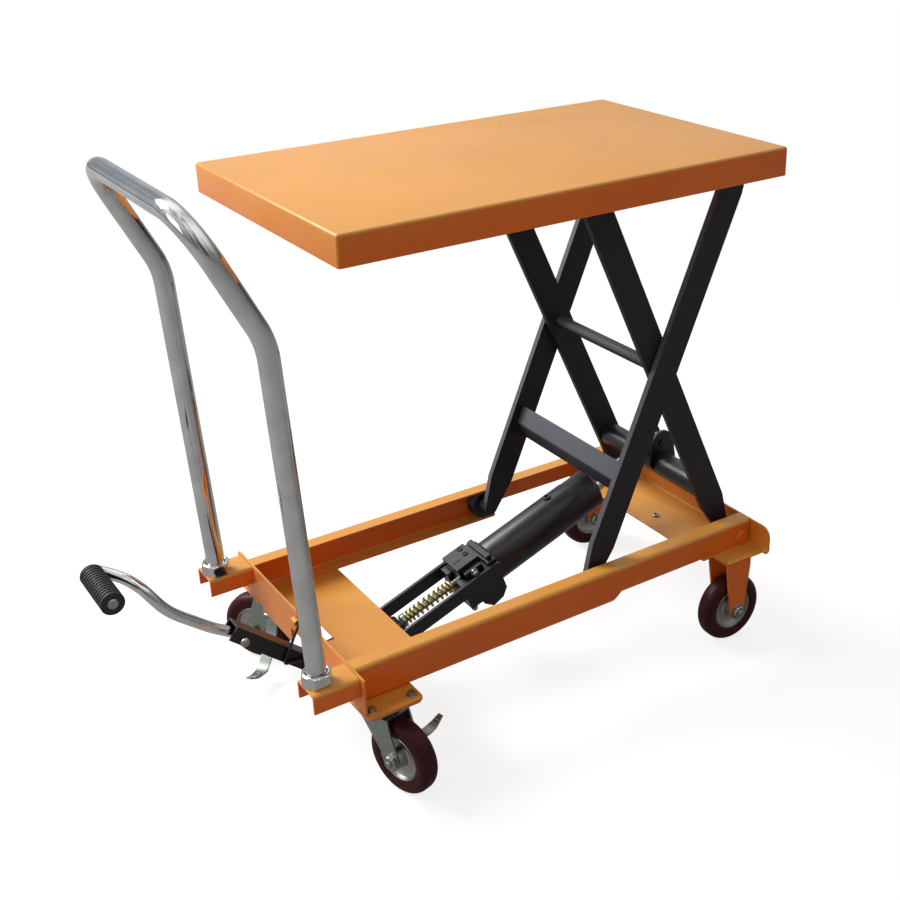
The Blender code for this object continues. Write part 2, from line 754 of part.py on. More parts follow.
def build_brake():
    """Side brake: a strip that drops from its barrel to an upturned foot pad."""
    hinge = brake_hinge()
    reach = BRAKE_REACH - hinge.y
    face = [(0.001, -0.001), (reach * 0.32, -0.030), (reach * 0.74, -0.050), (reach, -0.040)]
    outline = folded(face, CASTER_SHEET, 0.012)
    half = BRAKE_WIDTH / 2
    strip = prism("strip", outline, -half, half, "X")
    barrel = plain_rod("barrel", -half - 0.002, half + 0.002, 0.0045, "X", steps=SMALL_STEPS)
    return joined(strip, barrel)


# --- Scissor

def leg_point(along, rise=0.0):
    """A place on an inner leg, in the lift pivot's frame."""
    return Vector((-along, 0.0, rise))


def build_leg(face, start, end, holes, side):
    """Flat bar leg along X with a hole for each of its pins."""
    outline = bar(start, end, LEG_WIDTH, LEG_END_RADIUS, LEG_TAPER)
    cuts = [circle((x, 0.0), PIN_RADIUS + PIN_CLEARANCE, PIN_STEPS) for x in holes]
    return prism("leg", outline, *spread(face, face + LEG_THICKNESS, side), "Y", cuts)


def build_outer_leg(side):
    """Outer leg with the stub that its lower roller turns on."""
    half = LEG_SPAN / 2
    leg = build_leg(OUTER_LEG_FACE, -half, half, (0.0, half), side)
    face = OUTER_LEG_FACE + LEG_THICKNESS
    end = RAIL_FACE - RAIL_SHEET - 0.001
    stations = [(face - 0.004, COLLAR_RADIUS), (ROLLER_INNER - GAP, COLLAR_RADIUS),
                (ROLLER_INNER - GAP, PIN_RADIUS), (end, PIN_RADIUS)]
    if side < 0:
        stations = [(-y, r) for y, r in stations[::-1]]
    return joined(leg, rod("stub", stations, centre=(-half, 0.0, 0.0), steps=PIN_STEPS))


def build_centre_axle():
    """Axle through the four legs at their crossing, with a head at each end."""
    inner = INNER_LEG_FACE + LEG_THICKNESS
    outer = OUTER_LEG_FACE + LEG_THICKNESS
    half = [(outer + GAP + AXLE_HEAD, 0.011), (outer + GAP + 0.001, 0.014),
            (outer + GAP, 0.014), (outer + GAP, PIN_RADIUS),
            (OUTER_LEG_FACE - GAP, PIN_RADIUS), (OUTER_LEG_FACE - GAP, COLLAR_RADIUS + 0.004),
            (inner + GAP, COLLAR_RADIUS + 0.004), (inner + GAP, PIN_RADIUS)]
    return rod("axle", [(-y, r) for y, r in half] + half[::-1], steps=PIN_STEPS)


def build_roller_shaft():
    """Shaft across the tops of the inner legs, for the two upper rollers."""
    collar = INNER_LEG_FACE + LEG_THICKNESS + GAP
    end = RAIL_FACE - RAIL_SHEET - 0.001
    half = [(end, PIN_RADIUS), (ROLLER_INNER - GAP, PIN_RADIUS),
            (ROLLER_INNER - GAP, COLLAR_RADIUS), (collar, COLLAR_RADIUS), (collar, PIN_RADIUS)]
    return rod("shaft", [(-y, r) for y, r in half] + half[::-1], steps=PIN_STEPS)


def build_roller(radius, side):
    """Steel track roller with its bore."""
    low, high = ROLLER_INNER, ROLLER_INNER + ROLLER_WIDTH
    bore = PIN_RADIUS + PIN_CLEARANCE
    chamfer = 0.0015
    profile = [(low, bore), (low, radius - chamfer), (low + chamfer, radius),
               (high - chamfer, radius), (high, radius - chamfer), (high, bore)]
    return turned("roller", mirrored(profile, side), "Y", ring=True)


def build_inner_tube():
    """Square tube between the inner legs with the lugs and pin for the rod."""
    half = INNER_TUBE_SIZE / 2
    centre = -INNER_TUBE_ALONG
    hollow = half - INNER_TUBE_WALL
    outer = rounded(rectangle(centre - half, centre + half, -half, half), 0.005, closed=True)
    inner = rounded(rectangle(centre - hollow, centre + hollow, -hollow, hollow), 0.002,
                    closed=True)
    reach = INNER_LEG_FACE - GAP
    tube = prism("tube", outer, -reach, reach, "Y", [inner])
    pin_place = leg_point(ROD_PIN_ALONG, ROD_PIN_RISE)
    base = centre - half + INNER_TUBE_WALL / 2
    lug = hull(circle((pin_place.x, pin_place.z), LUG_RADIUS)
               + [(base, half - 0.006), (base, 0.006 - half)])
    inner_y = ROD_RADIUS + 0.0008
    lugs = [prism("lug", lug, *spread(inner_y, inner_y + LUG_SHEET, side), "Y")
            for _, side in sides()]
    end = inner_y + LUG_SHEET + 0.003
    pin = plain_rod("pin", -end, end, ROD_PIN_RADIUS, centre=pin_place, steps=PIN_STEPS)
    return cut(joined(tube, *lugs, pin), prism("hollow", inner, -reach - 1e-3, reach + 1e-3, "Y"))


def build_cross_plate():
    """Bent plate between the outer legs, in the outer legs' frame."""
    start = -LEG_SPAN / 2 + CROSS_PLATE_ALONG
    upper = (start + CROSS_PLATE_UPPER, CROSS_PLATE_OFFSET)
    fold = (start, CROSS_PLATE_OFFSET)
    lower = (start - CROSS_PLATE_LOWER * math.cos(CROSS_PLATE_BEND),
             CROSS_PLATE_OFFSET - CROSS_PLATE_LOWER * math.sin(CROSS_PLATE_BEND))
    outline = folded([upper, fold, lower], CROSS_PLATE_SHEET, 0.008)
    reach = OUTER_LEG_FACE - GAP
    return prism("cross", outline, -reach, reach, "Y")


# --- Deck

def build_deck():
    """Pressed pan: a flat top with a deep rim, open underneath."""
    size = Vector((DECK_LENGTH, DECK_WIDTH, DECK_RIM))
    form = bmesh.new()
    bmesh.ops.create_cube(form, size=1.0)
    bmesh.ops.scale(form, verts=form.verts, vec=size)
    bmesh.ops.translate(form, verts=form.verts, vec=(0.0, 0.0, DECK_TOP - DECK_RIM / 2))
    bottom = [f for f in form.faces if f.normal.z < -0.5]
    bmesh.ops.delete(form, geom=bottom, context="FACES")
    pan = mesh_object("deck", form)
    bevelled(pan, DECK_CORNER, 3)
    walls = pan.modifiers.new("walls", "SOLIDIFY")
    walls.thickness = DECK_SHEET
    walls.offset = -1.0
    walls.use_even_offset = True
    return smooth(bake(pan))


def build_deck_rail(side):
    """Angle under the deck: track for an upper roller and eye for the fixed pivot."""
    low = UPPER_PIVOT_Z - UPPER_ROLLER_RADIUS - GAP - RAIL_SHEET
    top = DECK_UNDERSIDE - GAP
    face = [(RAIL_FACE - TRACK_FLANGE, low), (RAIL_FACE, low), (RAIL_FACE, top)]
    outline = mirrored(folded(face, RAIL_SHEET, RAIL_BEND), side)
    reach = DECK_LENGTH / 2 - DECK_SHEET - 0.002
    rail = prism("track", outline, -reach, reach, "X")
    hole = circle((PIVOT_X, UPPER_PIVOT_Z), PIN_RADIUS + PIN_CLEARANCE)
    wide = RAIL_FACE + RAIL_SHEET
    return cut(rail, prism("hole", hole, -wide, wide, "Y"))


# --- Cylinder and pump, in the rod pin's frame with X along the axis

def build_piston_rod():
    """Ground rod with an eye for its pin."""
    length = BARREL_FRONT + ROD_ENGAGEMENT
    shaft = plain_rod("rod", -length, 0.0, ROD_RADIUS, "X")
    eye = plain_rod("eye", -ROD_RADIUS, ROD_RADIUS, ROD_RADIUS - 0.0003)
    hole = plain_rod("hole", -0.03, 0.03, ROD_PIN_RADIUS + PIN_CLEARANCE, steps=PIN_STEPS)
    return smooth(cut(joined(shaft, eye), hole))


def build_barrel():
    """Cylinder barrel, bored for the rod, with its gland and end cap."""
    front = -BARREL_FRONT
    back = front - BARREL_LENGTH
    ring = 0.014
    bore = ROD_RADIUS + GAP
    depth = ROD_ENGAGEMENT + pump_travel()[1] + 0.004
    profile = [(back, 0.0), (back, BARREL_RADIUS - 0.002), (back + 0.002, BARREL_RADIUS),
               (front - ring, BARREL_RADIUS), (front - ring, BARREL_RADIUS + 0.002),
               (front - 0.002, BARREL_RADIUS + 0.002), (front, BARREL_RADIUS),
               (front, GLAND_RADIUS), (front + GLAND_LENGTH, GLAND_RADIUS - 0.001),
               (front + GLAND_LENGTH, bore), (front - depth, bore), (front - depth, 0.0)]
    return turned("barrel", profile, "X")


def block_back():
    """Where the pump block ends on the plunger's side."""
    return -BARREL_FRONT - BARREL_LENGTH - GAP - BLOCK_LENGTH


def build_pump_block():
    """Pump block: a stepped body, a lobed reservoir foot and the plunger's bore."""
    back = block_back()
    front = back + BLOCK_LENGTH
    half = BLOCK_WIDTH / 2 - GAP
    body = prism("body", rectangle(back, front, -BLOCK_LOW, BLOCK_SHOULDER), -half, half, "Y")
    head_outline = [(back, 0.0), (front - 0.017, 0.0), (front - 0.017, BLOCK_TOP), (back, BLOCK_TOP)]
    head = prism("head", head_outline, -0.021, 0.033, "Y")
    lobe_outline = rounded([(back + 0.024, -BLOCK_LOW + 0.008), (back + 0.026, -0.056),
                            (back + 0.033, -0.080), (back + 0.056, -0.086), (front, -0.078),
                            (front + 0.004, -0.050), (front - 0.004, -BLOCK_LOW + 0.008)],
                           0.006, 3, closed=True)
    lobe = prism("lobe", lobe_outline, -0.028, 0.028, "Y")
    bore = plain_rod("bore", back - 0.01, back + 0.040, PLUNGER_RADIUS + PIN_CLEARANCE, "X",
                     (0.0, 0.0, PLUNGER_OFFSET))
    return bevelled(cut(joined(body, head, lobe), bore), 0.0012, 1, math.radians(60.0))


def cylinder_frame_point(place, lowering=0.0):
    """A place on the chassis, in the pump's frame, after the legs turned by an angle."""
    return cylinder_matrix(lowering).inverted() @ Vector(place)


def rod_pin_place(lowering=0.0):
    """The rod's pin after the legs turned by an angle."""
    turn = Matrix.Rotation(RAISED_ANGLE - lowering, 4, "Y")
    return Vector((PIVOT_X, 0.0, PIVOT_Z)) + turn @ leg_point(ROD_PIN_ALONG, ROD_PIN_RISE)


def pump_travel():
    """Swing and stroke of the pump from the raised to the lowered table."""
    raised = rod_pin_place() - FOOT
    lowered = rod_pin_place(LIFT_TRAVEL) - FOOT
    offset = raised.x * math.sin(CYLINDER_SLOPE) - raised.z * math.cos(CYLINDER_SLOPE)
    stroke = math.sqrt(raised.length_squared - offset ** 2)
    stroke -= math.sqrt(lowered.length_squared - offset ** 2)
    turn_raised = math.atan2(raised.z, raised.x) + math.asin(offset / raised.length)
    turn_lowered = math.atan2(lowered.z, lowered.x) + math.asin(offset / lowered.length)
    return turn_raised - turn_lowered, stroke


def cylinder_matrix(lowering=0.0):
    """The pump's frame after the legs turned by an angle, at its even rate."""
    share = lowering / LIFT_TRAVEL
    swing, stroke = pump_travel()
    turn = Matrix.Rotation(swing * share - CYLINDER_SLOPE, 4, "Y")
    return (Matrix.Translation(rod_pin_place(lowering)) @ turn
            @ Matrix.Translation((stroke * share, 0.0, 0.0)))


def slot_line():
    """Where the foot's pin runs in the slotted eye as the table goes down."""
    steps = 6
    line = [cylinder_frame_point(FOOT, LIFT_TRAVEL * i / steps) for i in range(steps + 1)]
    return [(point.x, point.z) for point in line]


def build_arm(side):
    """Side arm from the pump block to the foot: a flat bar with a slotted eye."""
    half = ARM_HEIGHT / 2
    middle = ARM_TOP - half
    front = (-BARREL_FRONT - BARREL_LENGTH - 0.004, middle)
    foot = cylinder_frame_point(FOOT)
    line = slot_line()
    pedal = cylinder_frame_point(PEDAL_PIVOT)
    rear = (foot.x + 0.010, middle)
    low, high = spread(ARM_INNER, ARM_INNER + ARM_SHEET, side)
    bar_outline = hull(circle(front, half, PIN_STEPS) + circle(rear, half, PIN_STEPS))
    slot = FOOT_PIN_RADIUS + FOOT_SLOT_PLAY
    eye_outline = hull([p for place in line for p in circle(place, slot + FOOT_EYE_WALL, PIN_STEPS)]
                       + circle(rear, half, PIN_STEPS))
    ear_outline = circle((pedal.x, pedal.z), 0.0095, PIN_STEPS)
    slot_outline = hull([p for place in line for p in circle(place, slot, SMALL_STEPS)])
    arm = prism("arm", bar_outline, low, high, "Y")
    joined(arm, prism("eye", eye_outline, low, high, "Y"), prism("ear", ear_outline, low, high, "Y"))
    hole = circle((pedal.x, pedal.z), PEDAL_PIN_RADIUS + PIN_CLEARANCE, SMALL_STEPS)
    return cut(arm, prism("slot", slot_outline, low - 0.01, high + 0.01, "Y"),
               prism("hole", hole, low - 0.01, high + 0.01, "Y"))


def plunger_cap_back():
    """Outer face of the plunger's cap, along the axis."""
    return block_back() - GAP - SPRING_LENGTH - GAP - CAP_THICKNESS


def build_plunger():
    """Plunger with its cap, which the pedal pushes."""
    back = plunger_cap_back()
    shoulder = back + CAP_THICKNESS
    stations = [(back, CAP_RADIUS - 0.002), (back + 0.002, CAP_RADIUS), (shoulder, CAP_RADIUS),
                (shoulder, PLUNGER_RADIUS), (block_back() + 0.028, PLUNGER_RADIUS)]
    return rod("plunger", stations, "X", (0.0, 0.0, PLUNGER_OFFSET), steps=PIN_STEPS)


def build_spring():
    """Return spring round the plunger: an open coil with closed end turns."""
    start = plunger_cap_back() + CAP_THICKNESS + GAP + SPRING_WIRE
    length = SPRING_LENGTH - 2 * SPRING_WIRE
    per_turn = 10
    count = SPRING_TURNS * per_turn
    path = []
    for i in range(count + 1):
        t = i / count
        turn = math.tau * SPRING_TURNS * t
        lead = t - math.sin(math.tau * t) * 0.035
        path.append((start + length * lead, SPRING_RADIUS * math.cos(turn),
                     PLUNGER_OFFSET + SPRING_RADIUS * math.sin(turn)))
    return swept("spring", path, SPRING_WIRE, 8)


# --- Pedal, in the pedal pivot's frame with table directions

def build_pedal_channel():
    """Inverted channel from the pivot to the foot bar, with the pusher and the pin."""
    reach = 0.008
    slope = (PEDAL_SOCKET - PEDAL_KNEE).normalized()
    shank = (PEDAL_KNEE - PEDAL_PIVOT).normalized()
    socket = PEDAL_SOCKET + slope * 0.012
    half = CHANNEL_DEPTH / 2
    pivot_point = (PEDAL_PIVOT.x, PEDAL_PIVOT.z)
    nose = pusher_centre()
    line = [(PEDAL_PIVOT - shank * reach), PEDAL_KNEE, socket]
    points = [(p.x, p.z) for p in line]

    def ribbon(low, high, grow=0.0):
        lower = [Vector(p) for p in points]
        first = (lower[1] - lower[0]).normalized()
        last = (lower[2] - lower[1]).normalized()
        lower[0] = lower[0] - first * grow
        lower[2] = lower[2] + last * grow
        normals = [Vector((first.y, -first.x)), None, Vector((last.y, -last.x))]
        middle = (normals[0] + normals[2]).normalized()
        normals[1] = middle / middle.dot(normals[0])
        face = [p + n * high for p, n in zip(lower, normals)]
        back = [p + n * low for p, n in zip(lower, normals)]
        return [tuple(p) for p in face + back[::-1]]

    width = CHANNEL_WIDTH / 2
    channel = prism("channel", ribbon(-half, half), -width, width, "Y")
    inside = prism("inside", ribbon(-half - 0.02, half - CHANNEL_SHEET, 0.02),
                   -width + CHANNEL_SHEET, width - CHANNEL_SHEET, "Y")
    cut(channel, inside)
    pusher = prism("pusher", hull(circle(pivot_point, 0.0095, PIN_STEPS)
                                  + circle((nose.x, nose.z), PUSHER_RADIUS, PIN_STEPS)),
                   -width, width, "Y")
    end = ARM_INNER + ARM_SHEET + 0.001
    pin = plain_rod("pin", -end, end, PEDAL_PIN_RADIUS, centre=PEDAL_PIVOT,
                    steps=SMALL_STEPS)
    return joined(channel, pusher, pin)


def pusher_centre():
    """Middle of the rounded nose that bears on the plunger's cap."""
    face = Vector((plunger_cap_back() - PUSHER_PLAY - PUSHER_RADIUS, 0.0, PLUNGER_OFFSET))
    return cylinder_matrix() @ face


def build_pedal_bar():
    """Bright round bar from the channel, bent into the core of the grip."""
    slope = (PEDAL_SOCKET - PEDAL_KNEE).normalized()
    start = PEDAL_SOCKET - slope * 0.020
    grip_end = GRIP_LENGTH / 2
    path = [start, PEDAL_SOCKET + slope * 0.110, GRIP_CENTRE + Vector((0.053, 0.046, -0.016)),
            GRIP_CENTRE + Vector((0.0, grip_end + 0.022, 0.0)),
            GRIP_CENTRE - Vector((0.0, grip_end - 0.002, 0.0))]
    return swept("bar", rounded(path, 0.014, 5), BAR_RADIUS, 12)


def build_grip():
    """Ribbed rubber sleeve along Y on the end of the foot bar."""
    half = GRIP_LENGTH / 2
    pitch = GRIP_LENGTH / GRIP_RIBS
    profile = [(-half, BAR_RADIUS + GAP)]
    for i in range(GRIP_RIBS):
        start = -half + i * pitch
        profile += [(start, GRIP_RADIUS - 0.003), (start + pitch / 2, GRIP_RADIUS)]
    profile += [(half, GRIP_RADIUS - 0.003), (half, BAR_RADIUS + GAP)]
    return turned("grip", profile, "Y", steps=PIN_STEPS, ring=True)


def hook_pivot():
    """Top of the wire hook, in its eye on the back plate."""
    side = -CHANNEL_WIDTH / 2 - HOOK_SIDE_PLAY - HOOK_RADIUS
    return Vector((CHASSIS_BACK - HOOK_RADIUS - HOOK_EYE_WALL, side, HOOK_TOP_Z))


def build_hook():
    """Wire hook that hangs from the back plate beside the pedal's channel."""
    path = [Vector((0.0, HOOK_BEND + HOOK_EYE_LENGTH + 0.002, 0.0)), Vector((0.0, 0.0, 0.0)),
            Vector((-0.033, 0.0, -0.065)), Vector((0.005, 0.0, -0.071))]
    return swept("hook", rounded(path, HOOK_BEND, 3), HOOK_RADIUS, 8)


# --- Assembly

def add_chassis(root, looks):
    """Everything that doesn't move on the chassis."""
    for name, side in sides():
        fit(build_rail(side), f"rail_{name}", root, looks["orange"])
        fit(build_caster_pad(side), f"caster_pad_{name}", root, looks["orange"])
        fit(build_handle_bracket(side), f"handle_bracket_{name}", root, looks["orange"])
        fit(build_wheel_fork(side), f"wheel_fork_{name}", root, looks["orange"])
        fit(build_nut(side), f"handle_nut_{name}", root, looks["chrome"])
        fit(build_foot_bracket(side), f"pump_foot_bracket_{name}", root, looks["orange"])
        fit(build_caster_head(), f"caster_head_{name}", root, looks["zinc"],
            (CASTER_X, side * CASTER_Y, 0.0))
    fit(build_back_plate(), "handle_end_plate", root, looks["orange"])
    fit(build_front_plate(), "front_plate", root, looks["orange"])
    fit(build_tray(), "floor_tray", root, looks["orange"])
    fit(build_handle(), "push_handle", root, looks["chrome"])
    swing = pivot("hook_axis", root, hook_pivot())
    fit(build_hook(), "pedal_hook", swing, looks["black"])
    inner_face = INNER_LEG_FACE + LEG_THICKNESS
    fit(build_pivot_shaft(inner_face, RAIL_FACE - 0.002), "lower_pivot_shaft", root,
        looks["charcoal"], (PIVOT_X, 0.0, PIVOT_Z))


def add_wheels(root, looks):
    """Fixed wheels, casters and the casters' brakes."""
    for name, side in sides():
        hub = pivot(f"front_wheel_axis_{name}", root,
                    (FRONT_WHEEL_X, side * FRONT_WHEEL_Y, WHEEL_RADIUS))
        fit(build_tread(), f"front_tyre_{name}", hub, looks["tread"])
        fit(build_core(), f"front_core_{name}", hub, looks["core"])
    for (name, side), yaw in zip(sides(), (NEAR_CASTER_YAW, FAR_CASTER_YAW)):
        swivel = pivot(f"swivel_axis_{name}", root, (CASTER_X, side * CASTER_Y, 0.0),
                       (0.0, 0.0, yaw))
        fit(build_caster_fork(), f"caster_fork_{name}", swivel, looks["zinc"])
        hub = pivot(f"caster_wheel_axis_{name}", swivel, (CASTER_TRAIL, 0.0, WHEEL_RADIUS))
        fit(build_tread(), f"caster_tyre_{name}", hub, looks["tread"])
        fit(build_core(), f"caster_core_{name}", hub, looks["core"])
        lever = pivot(f"brake_axis_{name}", swivel, brake_hinge())
        fit(build_brake(), f"caster_brake_{name}", lever, looks["zinc"])


def add_scissor(root, looks):
    """Legs, rollers and cross members; gives the lift and platform pivots."""
    half = LEG_SPAN / 2
    lift = pivot("lift_axis", root, (PIVOT_X, 0.0, PIVOT_Z), (0.0, RAISED_ANGLE, 0.0))
    crossing = pivot("crossing_axis", lift, leg_point(half), (0.0, -2 * RAISED_ANGLE, 0.0))
    platform = pivot("platform_axis", crossing, (half, 0.0, 0.0), (0.0, RAISED_ANGLE, 0.0))
    for name, side in sides():
        inner = build_leg(INNER_LEG_FACE, -LEG_SPAN, 0.0, (-LEG_SPAN, -half, 0.0), side)
        fit(inner, f"inner_leg_{name}", lift, looks["charcoal"])
        fit(build_outer_leg(side), f"outer_leg_{name}", crossing, looks["charcoal"])
        upper = pivot(f"upper_roller_axis_{name}", lift, leg_point(LEG_SPAN))
        fit(build_roller(UPPER_ROLLER_RADIUS, side), f"upper_roller_{name}", upper,
            looks["zinc"])
        lower = pivot(f"lower_roller_axis_{name}", crossing, (-half, 0.0, 0.0))
        fit(build_roller(LOWER_ROLLER_RADIUS, side), f"lower_roller_{name}", lower,
            looks["zinc"])
    fit(build_inner_tube(), "inner_cross_tube", lift, looks["black"])
    fit(build_centre_axle(), "centre_axle", lift, looks["charcoal"], leg_point(half))
    fit(build_roller_shaft(), "upper_roller_shaft", lift, looks["charcoal"],
        leg_point(LEG_SPAN))
    fit(build_cross_plate(), "outer_cross_plate", crossing, looks["charcoal"])
    return lift, platform


def add_deck(platform, looks):
    """Deck pan with its tracks and pivot shaft."""
    home = (-PIVOT_X, 0.0, -UPPER_PIVOT_Z)
    fit(build_deck(), "deck", platform, looks["orange"], home)
    for name, side in sides():
        fit(build_deck_rail(side), f"deck_rail_{name}", platform, looks["orange"], home)
    outer_face = OUTER_LEG_FACE + LEG_THICKNESS
    fit(build_pivot_shaft(outer_face, RAIL_FACE - 0.002), "upper_pivot_shaft", platform,
        looks["charcoal"])


def add_hydraulics(lift, looks):
    """Rod, barrel, pump and plunger; gives the pump's empty."""
    tilt = -CYLINDER_SLOPE - RAISED_ANGLE
    rod_axis = pivot("rod_axis", lift, leg_point(ROD_PIN_ALONG, ROD_PIN_RISE), (0.0, tilt, 0.0))
    fit(build_piston_rod(), "piston_rod", rod_axis, looks["chrome"])
    pump = pivot("cylinder_axis", rod_axis, (0.0, 0.0, 0.0))
    fit(build_barrel(), "cylinder_barrel", pump, looks["black"])
    fit(build_pump_block(), "pump_block", pump, looks["black"])
    for name, side in sides():
        fit(build_arm(side), f"pump_arm_{name}", pump, looks["black"])
    plunger = pivot("plunger_axis", pump, (0.0, 0.0, 0.0))
    fit(build_plunger(), "plunger", plunger, looks["zinc"])
    fit(build_spring(), "plunger_spring", plunger, looks["yellow_zinc"])
    return pump


def add_pedal(pump, looks):
    """Foot pedal on its pin in the pump's arms."""
    turn = (0.0, CYLINDER_SLOPE, 0.0)
    pedal = pivot("pedal_axis", pump, cylinder_frame_point(PEDAL_PIVOT), turn)
    home = -PEDAL_PIVOT
    fit(build_pedal_channel(), "pedal_channel", pedal, looks["black"], home)
    fit(build_pedal_bar(), "pedal_bar", pedal, looks["chrome"], home)
    fit(build_grip(), "pedal_grip", pedal, looks["rubber"], GRIP_CENTRE - PEDAL_PIVOT)


def world_box(items):
    """Lowest and highest corner of the finished meshes."""
    bpy.context.view_layer.update()
    corners = [item.matrix_world @ v.co for item in items for v in item.data.vertices]
    low = Vector(min(p[i] for p in corners) for i in range(3))
    high = Vector(max(p[i] for p in corners) for i in range(3))
    return low, high


def build():
    """Build the whole table."""
    for item in list(bpy.data.objects):
        bpy.data.objects.remove(item)
    looks = make_materials()
    root = pivot("table", None, (0.0, 0.0, 0.0))
    add_chassis(root, looks)
    add_wheels(root, looks)
    lift, platform = add_scissor(root, looks)
    add_deck(platform, looks)
    pump = add_hydraulics(lift, looks)
    add_pedal(pump, looks)
    low, high = world_box([item for item in bpy.data.objects if item.type == "MESH"])
    root.location = (-(low.x + high.x) / 2, -(low.y + high.y) / 2, -low.z)


build()
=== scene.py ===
# %% [markdown]
# # A hydraulic scissor lift table
#
# The frame holds the working parts of the table: rails, legs, deck, pump, pedal, handle and
# wheels, each where it belongs and each on the body it moves with. This lesson gives them
# their finish. Round pieces are turned or swept again with fine steps, sheet metal gets soft
# edges, small fasteners are added, and every surface gets a material made of nodes. Light and
# camera come first, so that each step can be looked at.

# %% Load the frame
import json
import math

import bmesh
import bpy
from mathutils import Matrix, Vector
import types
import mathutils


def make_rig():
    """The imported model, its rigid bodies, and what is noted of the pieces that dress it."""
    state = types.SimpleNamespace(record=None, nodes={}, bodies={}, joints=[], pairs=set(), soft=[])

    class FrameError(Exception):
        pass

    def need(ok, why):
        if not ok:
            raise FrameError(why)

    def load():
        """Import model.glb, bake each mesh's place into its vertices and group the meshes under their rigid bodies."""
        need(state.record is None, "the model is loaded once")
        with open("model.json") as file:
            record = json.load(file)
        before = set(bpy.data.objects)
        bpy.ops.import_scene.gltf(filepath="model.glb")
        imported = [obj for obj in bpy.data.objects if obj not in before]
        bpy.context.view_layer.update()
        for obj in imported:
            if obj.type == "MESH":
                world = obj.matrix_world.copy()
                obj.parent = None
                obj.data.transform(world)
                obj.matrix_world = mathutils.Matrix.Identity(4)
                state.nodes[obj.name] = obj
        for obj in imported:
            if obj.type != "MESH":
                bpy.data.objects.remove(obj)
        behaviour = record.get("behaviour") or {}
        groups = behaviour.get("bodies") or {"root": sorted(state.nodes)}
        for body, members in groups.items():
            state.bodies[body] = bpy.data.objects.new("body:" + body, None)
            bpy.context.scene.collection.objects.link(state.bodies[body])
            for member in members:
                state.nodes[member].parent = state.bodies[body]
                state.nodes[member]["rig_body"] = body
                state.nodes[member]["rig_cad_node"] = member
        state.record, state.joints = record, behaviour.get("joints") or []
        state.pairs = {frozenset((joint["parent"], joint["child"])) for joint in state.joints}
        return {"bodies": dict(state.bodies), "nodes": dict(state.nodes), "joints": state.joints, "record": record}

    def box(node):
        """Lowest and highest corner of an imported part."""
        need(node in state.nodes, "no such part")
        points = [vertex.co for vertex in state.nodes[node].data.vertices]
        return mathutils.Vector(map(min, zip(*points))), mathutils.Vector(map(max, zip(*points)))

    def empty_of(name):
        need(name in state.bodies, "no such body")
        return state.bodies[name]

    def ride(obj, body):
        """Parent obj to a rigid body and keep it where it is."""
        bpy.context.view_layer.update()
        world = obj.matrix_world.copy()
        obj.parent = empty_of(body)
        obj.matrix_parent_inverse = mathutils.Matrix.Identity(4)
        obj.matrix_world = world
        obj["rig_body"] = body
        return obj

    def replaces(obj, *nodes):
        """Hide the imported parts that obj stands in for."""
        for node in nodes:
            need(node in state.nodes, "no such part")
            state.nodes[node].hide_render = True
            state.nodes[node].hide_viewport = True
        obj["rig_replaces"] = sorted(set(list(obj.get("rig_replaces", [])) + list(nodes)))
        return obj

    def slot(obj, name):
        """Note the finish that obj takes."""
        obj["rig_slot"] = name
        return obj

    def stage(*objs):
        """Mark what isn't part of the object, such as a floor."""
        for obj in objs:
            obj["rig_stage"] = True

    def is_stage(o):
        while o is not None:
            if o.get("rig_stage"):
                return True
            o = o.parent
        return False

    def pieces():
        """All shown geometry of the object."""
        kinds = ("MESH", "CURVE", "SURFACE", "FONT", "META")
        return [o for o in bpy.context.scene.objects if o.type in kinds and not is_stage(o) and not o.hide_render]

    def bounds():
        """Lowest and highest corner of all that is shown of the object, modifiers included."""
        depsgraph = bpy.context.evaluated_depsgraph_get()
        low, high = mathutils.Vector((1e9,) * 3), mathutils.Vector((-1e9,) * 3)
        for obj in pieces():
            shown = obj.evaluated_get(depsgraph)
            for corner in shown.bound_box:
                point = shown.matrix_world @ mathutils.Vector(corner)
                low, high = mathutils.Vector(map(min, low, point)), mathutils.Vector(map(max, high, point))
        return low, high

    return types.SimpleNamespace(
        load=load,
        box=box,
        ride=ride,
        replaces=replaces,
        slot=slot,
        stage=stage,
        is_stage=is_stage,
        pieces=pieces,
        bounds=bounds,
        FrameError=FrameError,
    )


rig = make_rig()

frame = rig.load()
nodes = frame["nodes"]
joints = {joint["name"]: joint for joint in frame["joints"]}
cad_box = [list(corner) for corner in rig.bounds()]
print(len(nodes), "parts,", len(joints), "joints, box", cad_box)

# %% [markdown]
# Places are easiest to read when they are measured from the middle of the deck, on the floor.
# The frame's own origin is the middle of the footprint, which the long pedal bar shifts. The
# lift pivot is a known place in both, so it gives the difference.

# %% Where things are measured from
LIFT_PIVOT = Vector((0.390, 0.0, 0.1938))
MIDDLE = Vector(joints["lift"]["pos_m"]) - LIFT_PIVOT
SIDES = (("near", -1), ("far", 1))
ACROSS = Vector((0.0, 1.0, 0.0))
UP = Vector((0.0, 0.0, 1.0))


def at(x, y, z):
    """A place measured from the middle of the deck, on the floor."""
    return MIDDLE + Vector((x, y, z))


def middle_of(node):
    """The centre of a part's box."""
    low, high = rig.box(node)
    return (low + high) / 2


print("middle of the deck at", [round(v, 4) for v in MIDDLE])

# %% [markdown]
# ## Camera
#
# The camera stands a little above deck height, beyond the handle and to the near side. The
# lens is a mild telephoto, and its small shift sets the table's place in the square frame.
# The three angles turn the camera from "looking along +Y and level". A camera could also be
# made to track a target, but angles written down can be read and changed one at a time.

